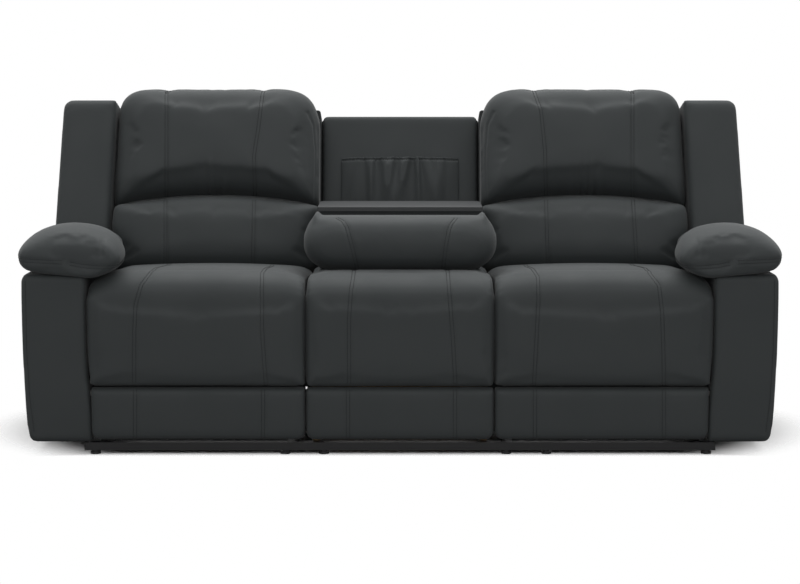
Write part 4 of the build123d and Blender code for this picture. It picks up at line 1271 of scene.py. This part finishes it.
# %% Wings
WING_LOW, WING_TOP = 0.052, 0.529
WING_OUTLINE = ((0.881, WING_LOW), (0.8625, WING_TOP), (1.024, WING_TOP), (1.047, WING_LOW))
WING_LAYERS = ((0.010, 0.194), (0.0, 0.185), (0.0, 0.10), (0.0, 0.024), (0.004, 0.012),
               (0.012, 0.006), (0.026, 0.003))
for name, side in SIDES:
    outline = rounded_loop([(side * x, up) for x, up in WING_OUTLINE], [0.0, 0.0, 0.030, 0.0])
    wing = layered(f"{name}_wing_cover", spread(outline, 0.03), (side * 0.95, 0.28),
                   (0.075, 0.23), WING_LAYERS, on_back)
    points = points_of(wing)
    points[:, 2] = np.maximum(points[:, 2], ARM_TOP + 0.001)  # the wing stands on the arm
    set_points(wing, points)
    refine(even_cover(wing, rounds=3))
    deliver(wing, "base", f"{name}_wing", fill=0.9)

# %% [markdown]
# ## The middle back
# Where the console has folded down, a flat upholstered panel shows, with a gathered pocket for
# magazines. The panel is firm. The pocket is one sheet: sewn down at its sides and foot, with
# elastic in its hem, so the cloth hangs in folds that start at the hem and fan out.

# %% Recess panel
def board_pad(name, x0, x1, low, high, corners, layers, cell):
    """Firm padded board that leans with the back."""
    outline = rounded_loop([(x0, low), (x0, high), (x1, high), (x1, low)], corners)
    rough = layered(name, spread(outline, 0.03), ((x0 + x1) / 2, (low + high) / 2),
                    ((x1 - x0) / 2, (high - low) / 2), layers, on_back)
    return refine(fit_across(even_cover(rough, cell, 2), x0, x1))


RECESS_FRONT, RECESS_REAR, RECESS_EDGE = 0.2095, 0.2298, 0.007
recess = board_pad(
    "recess_panel_cover", -0.2415, 0.2415, 0.010, 0.520, [0.007, 0.014, 0.014, 0.007],
    ((RECESS_EDGE, RECESS_REAR), (0.0, RECESS_REAR - RECESS_EDGE * 0.4),
     (0.0, RECESS_FRONT + RECESS_EDGE), (RECESS_EDGE * 0.3, RECESS_FRONT + RECESS_EDGE * 0.3),
     (RECESS_EDGE, RECESS_FRONT), (RECESS_EDGE * 3, RECESS_FRONT - 0.001)), CLOTH_CELL * 0.8)
deliver(recess, "base", "recess_panel", fill=0.9)

# %% [markdown]
# The pocket is a grid of points over its opening: how far each point stands proud of the panel
# is a sum of the slack, which grows towards the hem, and of single folds.

# %% Magazine pocket
POCKET_FOLDS = (  # across at the hem, drift down, width, height
    (-0.128, -0.10, 0.012, 0.0035), (-0.100, 0.05, 0.009, 0.0045), (-0.086, -0.02, 0.007, 0.0050),
    (-0.052, 0.10, 0.013, 0.0060), (-0.022, -0.12, 0.012, 0.0060), (0.004, 0.04, 0.010, 0.0035),
    (0.026, -0.16, 0.012, 0.0070), (0.054, 0.02, 0.007, 0.0080), (0.072, 0.14, 0.013, 0.0060),
    (0.104, 0.06, 0.011, 0.0040), (0.132, -0.05, 0.012, 0.0035))
POCKET_HALF, POCKET_LOW, POCKET_HIGH = 0.182, 0.197, 0.384


def pocket_sheet():
    columns, rows = 180, 70
    points, faces = [], []
    for row in range(rows + 1):
        v = row / rows
        up = POCKET_LOW + (POCKET_HIGH - POCKET_LOW) * v
        for column in range(columns + 1):
            across = -POCKET_HALF + 2 * POCKET_HALF * column / columns
            edge = 1 - (abs(across) / POCKET_HALF) ** 6
            proud = 0.004 + 0.012 * edge * math.sin(min(v * 1.25, 1.0) * math.pi / 2)
            folds = 0.0
            below = 1 - v
            for middle, drift, width, height in POCKET_FOLDS:
                offset = (across - middle - drift * below * 0.35) / (width * (1 + below))
                folds += 1.6 * height * math.exp(-offset ** 2) * (1 - 0.7 * below)
            ripple = 0.0012 * math.sin(across * 520) * max(0.0, 1 - below / 0.10) * edge
            hem = 0.0025 * math.exp(-((v - 0.965) / 0.02) ** 2)
            deep = 0.2085 - proud - folds * edge - ripple + hem
            points.append(on_back(across, up, max(deep, 0.182)))
    for row in range(rows):
        for column in range(columns):
            a = row * (columns + 1) + column
            faces.append((a, a + 1, a + columns + 2, a + columns + 1))
    return piece_from("magazine_pocket_cloth", points, faces)


pocket = pocket_sheet()
thick = pocket.modifiers.new("cloth thickness", "SOLIDIFY")
thick.thickness, thick.offset = 0.002, 0.0
apply_modifiers(pocket)
shade_smooth(pocket)
guide = [(on_back(x, 0.376, -1.0), Vector((0, math.cos(RAKE), -math.sin(RAKE))))
         for x in (-0.178, -0.09, 0.0, 0.09, 0.178)]
pocket_threads = threads("magazine_pocket_threads", [line_on(tree_of(pocket), guide)])
deliver(pocket, "base", "magazine_pocket", fill=None)
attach(pocket_threads, "base")

# %% [markdown]
# ## The folded console
# Folded down, the middle back shows its rear board with the tray on top, its own lumbar pad
# under it, and its head pillow as a round bolster in front. The bolster is a stack of levels
# from its underside to its crest: each level has a width and a depth, and its front corners are
# round. It is wider than the space between the outer backs, and in the real sofa it squeezes in
# as the back is folded up.

# %% Bolster
BOLSTER_LEVELS = (  # height, half width, depth of the front, depth of the rear
    (0.4845, 0.150, 0.255, 0.340), (0.488, 0.195, 0.215, 0.375), (0.496, 0.226, 0.180, 0.386),
    (0.510, 0.250, 0.156, 0.386), (0.530, 0.266, 0.141, 0.386), (0.550, 0.273, 0.1355, 0.386),
    (0.575, 0.2745, 0.134, 0.386), (0.595, 0.271, 0.1365, 0.386), (0.612, 0.266, 0.142, 0.386),
    (0.627, 0.259, 0.150, 0.366), (0.638, 0.252, 0.161, 0.315), (0.6445, 0.243, 0.176, 0.250))


def bolster_shape(name):
    rings = []
    for height, half, front, rear in BOLSTER_LEVELS:
        turn = min(0.085, (rear - front) * 0.48)
        loop = rounded_loop([(-half, rear), (-half, front), (half, front), (half, rear)],
                            [0.012, turn, turn, 0.012], steps=10)
        rings.append([place(p.x, p.y, height) for p in spread_even([Vector(p) for p in loop], 96)])
    return stack(name, rings)


print("bolster levels:", len(BOLSTER_LEVELS))

# %% [markdown]
# The bolster's crest has a small ear at each end, where the sewn corners of the pillow stick up
# beside the tray. They are raised after the stuffing, so that it doesn't smooth them away.

# %% Make the bolster
BOLSTER_SEAMS = (((337, 218), (343, 221), (347, 227), (353, 250), (357.5, 270.5)),
                 ((456, 218), (451, 224), (449, 229), (446, 245), (443, 270)))
EAR_AT, EAR_HEIGHT = 0.236, 0.012
bolster = even_cover(bolster_shape("console_bolster"), rounds=5)
stuff(bolster, depth_of(points_of(bolster)) > 0.375, cap=0.003)
refine(bolster)
points = points_of(bolster)
ear = np.exp(-((np.abs(points[:, 0]) - EAR_AT) / 0.009) ** 2) * rise(points[:, 2], 0.61, 0.635)
points[:, 2] += EAR_HEIGHT * ear * rise(depth_of(points), 0.17, 0.22)
set_points(bolster, points)
bolster_threads = sew(bolster, [through(*seam) for seam in BOLSTER_SEAMS])
deliver(bolster, "console", "console_head_pillow", fill=0.9)
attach(bolster_threads, "console")
for part in (bolster, bolster_threads):
    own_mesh(part)

# %% [markdown]
# Behind the bolster is the console's lumbar pad, narrower at its rear to pass the hinge. It is
# built from its outline seen from above, in layers from its underside to its top.

# %% Console lumbar pad
PAD_OUTLINE = ((-0.240, 0.390), (0.240, 0.390), (0.240, 0.538), (0.209, 0.541), (0.209, 0.627),
               (-0.209, 0.627), (-0.209, 0.541), (-0.240, 0.538))
PAD_LAYERS = ((0.012, 0.4745), (0.003, 0.479), (0.0, 0.487), (0.0, 0.60), (0.0, 0.616),
              (0.006, 0.6225))
rough = layered("console_lumbar_cover", spread([Vector(p) for p in PAD_OUTLINE], 0.02),
                (0.0, 0.50), (0.24, 0.11), PAD_LAYERS, place)
console_pad = refine(even_cover(rough, rounds=2))
deliver(console_pad, "console", "console_lumbar_pad", fill=0.9)

# %% [markdown]
# ## The rear
# Seen from behind, each back is closed by a flat padded panel in a plainer cloth, with a welt
# round it. Between that panel and the pillows a border of the same cloth is stretched round the
# timber frame.

# %% Shapes of the rear
REAR_FOOT, REAR_FACE = -0.249, 0.2695  # up the back and deep behind its face


def rear_panel(name, x0, x1, low, high, front, rear):
    layers = ((0.006, front), (0.0, front + 0.004), (0.0, rear - 0.008), (0.002, rear - 0.003),
              (0.008, rear - 0.0005), (0.03, rear + 0.002))
    return board_pad(name, x0, x1, low, high, [0.008, 0.016, 0.016, 0.008], layers,
                     CLOTH_CELL * 1.15)


def wrap(name, x0, x1, low, high, front, rear):
    """Cloth stretched round a frame: flat sides and only a small chamfer."""
    middle, half, hub = (x0 + x1) / 2, abs(x1 - x0) / 2, (low + high) / 2
    rings = []
    for inset, deep in ((0.002, front), (0.0, front + 0.002), (0.0, rear - 0.002), (0.002, rear)):
        wide, tall = half - inset, (high - low) / 2 - inset
        corners = rounded_loop([(-wide, -tall), (-wide, tall), (wide, tall), (wide, -tall)],
                               [0.004, 0.010, 0.010, 0.004])
        rings.append([on_back(middle + p.x, hub + p.y, deep) for p in corners])
    return stack(name, rings)


def rear_seam(x0, x1, low, high, inset=0.014):
    corners = [(x0 + inset, low + inset), (x0 + inset, high - inset), (x1 - inset, high - inset),
               (x1 - inset, low + inset), (x0 + inset, low + inset)]
    forward = Vector((0, -math.cos(RAKE), math.sin(RAKE)))
    return [(on_back(x, up, 1.0), forward) for x, up in corners]


def sew_rear(panel, seam, body, node_name):
    """The welt of a rear panel, and who carries the panel."""
    sewn = sew(panel, [seam], depth=0.0015, rows=(0.0,))
    deliver(panel, body, node_name, fill=0.95, slot_name="back_cloth")
    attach(sewn, body)


print("rear foot at", REAR_FOOT, "up the back")

# %% [markdown]
# The outer panels lean back with their backs. The middle one stays on the base, because only
# the part in front of it folds down.

# %% Outside backs
for name, side in SIDES:
    x0, x1 = sorted((side * 0.2466, side * 0.8575))
    panel = rear_panel(f"{name}_outside_back_cover", x0, x1, REAR_FOOT, 0.529, 0.2335, REAR_FACE)
    carrier = (f"{name}_back", f"{name}_outside_back")
    sew_rear(panel, rear_seam(x0, x1, REAR_FOOT, 0.529), *carrier)
    border = wrap(f"{name}_back_border", x0, x1, 0.03, 0.527, 0.158, 0.262)
    deliver(border, *carrier, fill=None, slot_name="back_cloth")
panel = rear_panel("centre_back_cloth", -0.2455, 0.2455, REAR_FOOT, 0.516, 0.2300, REAR_FACE)
sew_rear(panel, rear_seam(-0.2355, 0.2355, REAR_FOOT, 0.509), "base", "centre_back_cover")
border = wrap("centre_back_border", -0.2458, 0.2458, 0.03, 0.512, 0.2305, 0.262)
deliver(border, "base", "centre_back_cover", fill=None, slot_name="back_cloth")

# %% [markdown]
# Narrow cloth flaps at each side of the middle front close the slit between the seats. The left
# ones leave a small hole where the seams cross, as the real ones do.

# %% Flaps beside the middle front
FLAP_FRONT, FLAP_REAR = 0.0600, 0.0620
# Each flap is its inner and outer side across, then its foot and its top.
FLAPS = {"left": ((0.2380, 0.2760, 0.0600, 0.1775), (0.2380, 0.2575, 0.1775, 0.1845),
                  (0.2620, 0.2760, 0.1775, 0.1845), (0.2380, 0.2760, 0.1845, 0.3300)),
         "right": ((0.2380, 0.2760, 0.0600, 0.3300),)}
for name, side in SIDES:
    for count, (inner, outer, low, high) in enumerate(FLAPS[name]):
        loop = [place(side * x, depth, low) for x, depth in
                ((inner, FLAP_FRONT), (outer, FLAP_FRONT), (outer, FLAP_REAR), (inner, FLAP_REAR))]
        upper = [p + Vector((0, 0, high - low)) for p in loop]
        flap = stack(f"{name}_front_flap_{count}", [loop, upper])
        deliver(flap, "base", "centre_front_pad", fill=None, slot_name="back_cloth")

# %% [markdown]
# ## Studio
# The floor is white and keeps the sofa's soft shadow. Away from the sofa it fades into the
# white behind it, but only to the camera: light and reflections still meet the whole floor. As
# light it is darker than to the camera, so that it doesn't brighten the sofa from below.

# %% Floor
FADE_FROM, FADE_TO = 0.80, 1.02  # in metres from the sofa's middle, in the oval's measure
OVAL = (0.8, 1.25, 1.0)
FLOOR_AS_LIGHT, SURROUND_AS_LIGHT = 0.30, 0.16
floor = piece_from("floor", [(-9, -9, 0), (9, -9, 0), (9, 9, 0), (-9, 9, 0)], [(0, 1, 2, 3)])
floor_finish = bpy.data.materials.new("floor")
floor_finish.use_nodes = True
tree = floor_finish.node_tree
surface = tree.nodes["Principled BSDF"]
surface.inputs["Roughness"].default_value = 0.9
rays = tree.nodes.new("ShaderNodeLightPath")
tone = linked(tree, "ShaderNodeMapRange", {"Value": rays.outputs["Is Camera Ray"],
                                           "To Min": FLOOR_AS_LIGHT, "To Max": 1.0})
tree.links.new(tone.outputs[0], surface.inputs["Base Color"])
where = linked(tree, "ShaderNodeTexCoord").outputs["Object"]
oval = linked(tree, "ShaderNodeVectorMath", {0: where, 1: OVAL}, operation="MULTIPLY")
away = linked(tree, "ShaderNodeVectorMath", {0: oval.outputs[0]}, operation="LENGTH")
fade = linked(tree, "ShaderNodeMapRange", {"Value": away.outputs["Value"],
                                           "From Min": FADE_FROM, "From Max": FADE_TO},
              interpolation_type="SMOOTHSTEP")
parts = linked(tree, "ShaderNodeSeparateXYZ", {0: where})
before = linked(tree, "ShaderNodeMapRange", {"Value": parts.outputs["Y"],
                                             "From Min": SEAT_FRONT_Y + 0.06,
                                             "From Max": SEAT_FRONT_Y - 0.005},
                interpolation_type="SMOOTHSTEP")
fade = linked(tree, "ShaderNodeMath", {0: fade.outputs[0], 1: before.outputs[0]},
              operation="MAXIMUM")
fade = linked(tree, "ShaderNodeMath", {0: fade.outputs[0], 1: rays.outputs["Is Camera Ray"]},
              operation="MULTIPLY")
clear = tree.nodes.new("ShaderNodeBsdfTransparent")
mixed = linked(tree, "ShaderNodeMixShader", {0: fade.outputs[0], 1: surface.outputs[0],
                                             2: clear.outputs[0]})
tree.links.new(mixed.outputs[0], tree.nodes["Material Output"].inputs["Surface"])
floor.data.materials.clear()
floor.data.materials.append(floor_finish)
print("floor fades from", FADE_FROM, "to", FADE_TO)

# %% [markdown]
# The surround is even and white to the camera and in reflections, and dimmer as light.

# %% Surround
world = bpy.data.worlds.new("surround")
bpy.context.scene.world = world
world.use_nodes = True
tree = world.node_tree
rays = tree.nodes.new("ShaderNodeLightPath")
seen = linked(tree, "ShaderNodeMath", {0: rays.outputs["Is Camera Ray"],
                                       1: rays.outputs["Is Glossy Ray"]}, operation="MAXIMUM")
seen = linked(tree, "ShaderNodeMath", {0: seen.outputs[0],
                                       1: rays.outputs["Is Transmission Ray"]},
              operation="MAXIMUM")
strength = linked(tree, "ShaderNodeMapRange", {"Value": seen.outputs[0],
                                               "To Min": SURROUND_AS_LIGHT, "To Max": 1.0})
background = tree.nodes["Background"]
background.inputs["Color"].default_value = (1, 1, 1, 1)
tree.links.new(strength.outputs[0], background.inputs["Strength"])
print("surround as light:", SURROUND_AS_LIGHT)

# %% [markdown]
# A big soft lamp hangs overhead and a weaker one stands in front. They are set by the seats,
# whose tops are about twice as bright as their fronts.

# %% Lamps
def lamp(name, at, aim, size, power):
    data = bpy.data.lights.new(name, "AREA")
    data.shape, data.size, data.size_y, data.energy = "RECTANGLE", size[0], size[1], power
    built = bpy.data.objects.new(name, data)
    built.location = at
    built.rotation_euler = (Vector(aim) - Vector(at)).to_track_quat("-Z", "Y").to_euler()
    bpy.context.scene.collection.objects.link(built)
    print(name, "lamp", power, "W")


lamp("overhead", (0.0, 0.95, 6.0), (0.0, 0.0, 0.4), (7.0, 3.4), 290.0)
lamp("front", (0.0, -5.0, 2.2), (0.0, 0.0, 0.5), (4.0, 2.0), 35.0)
bpy.context.scene.view_settings.view_transform = "Standard"
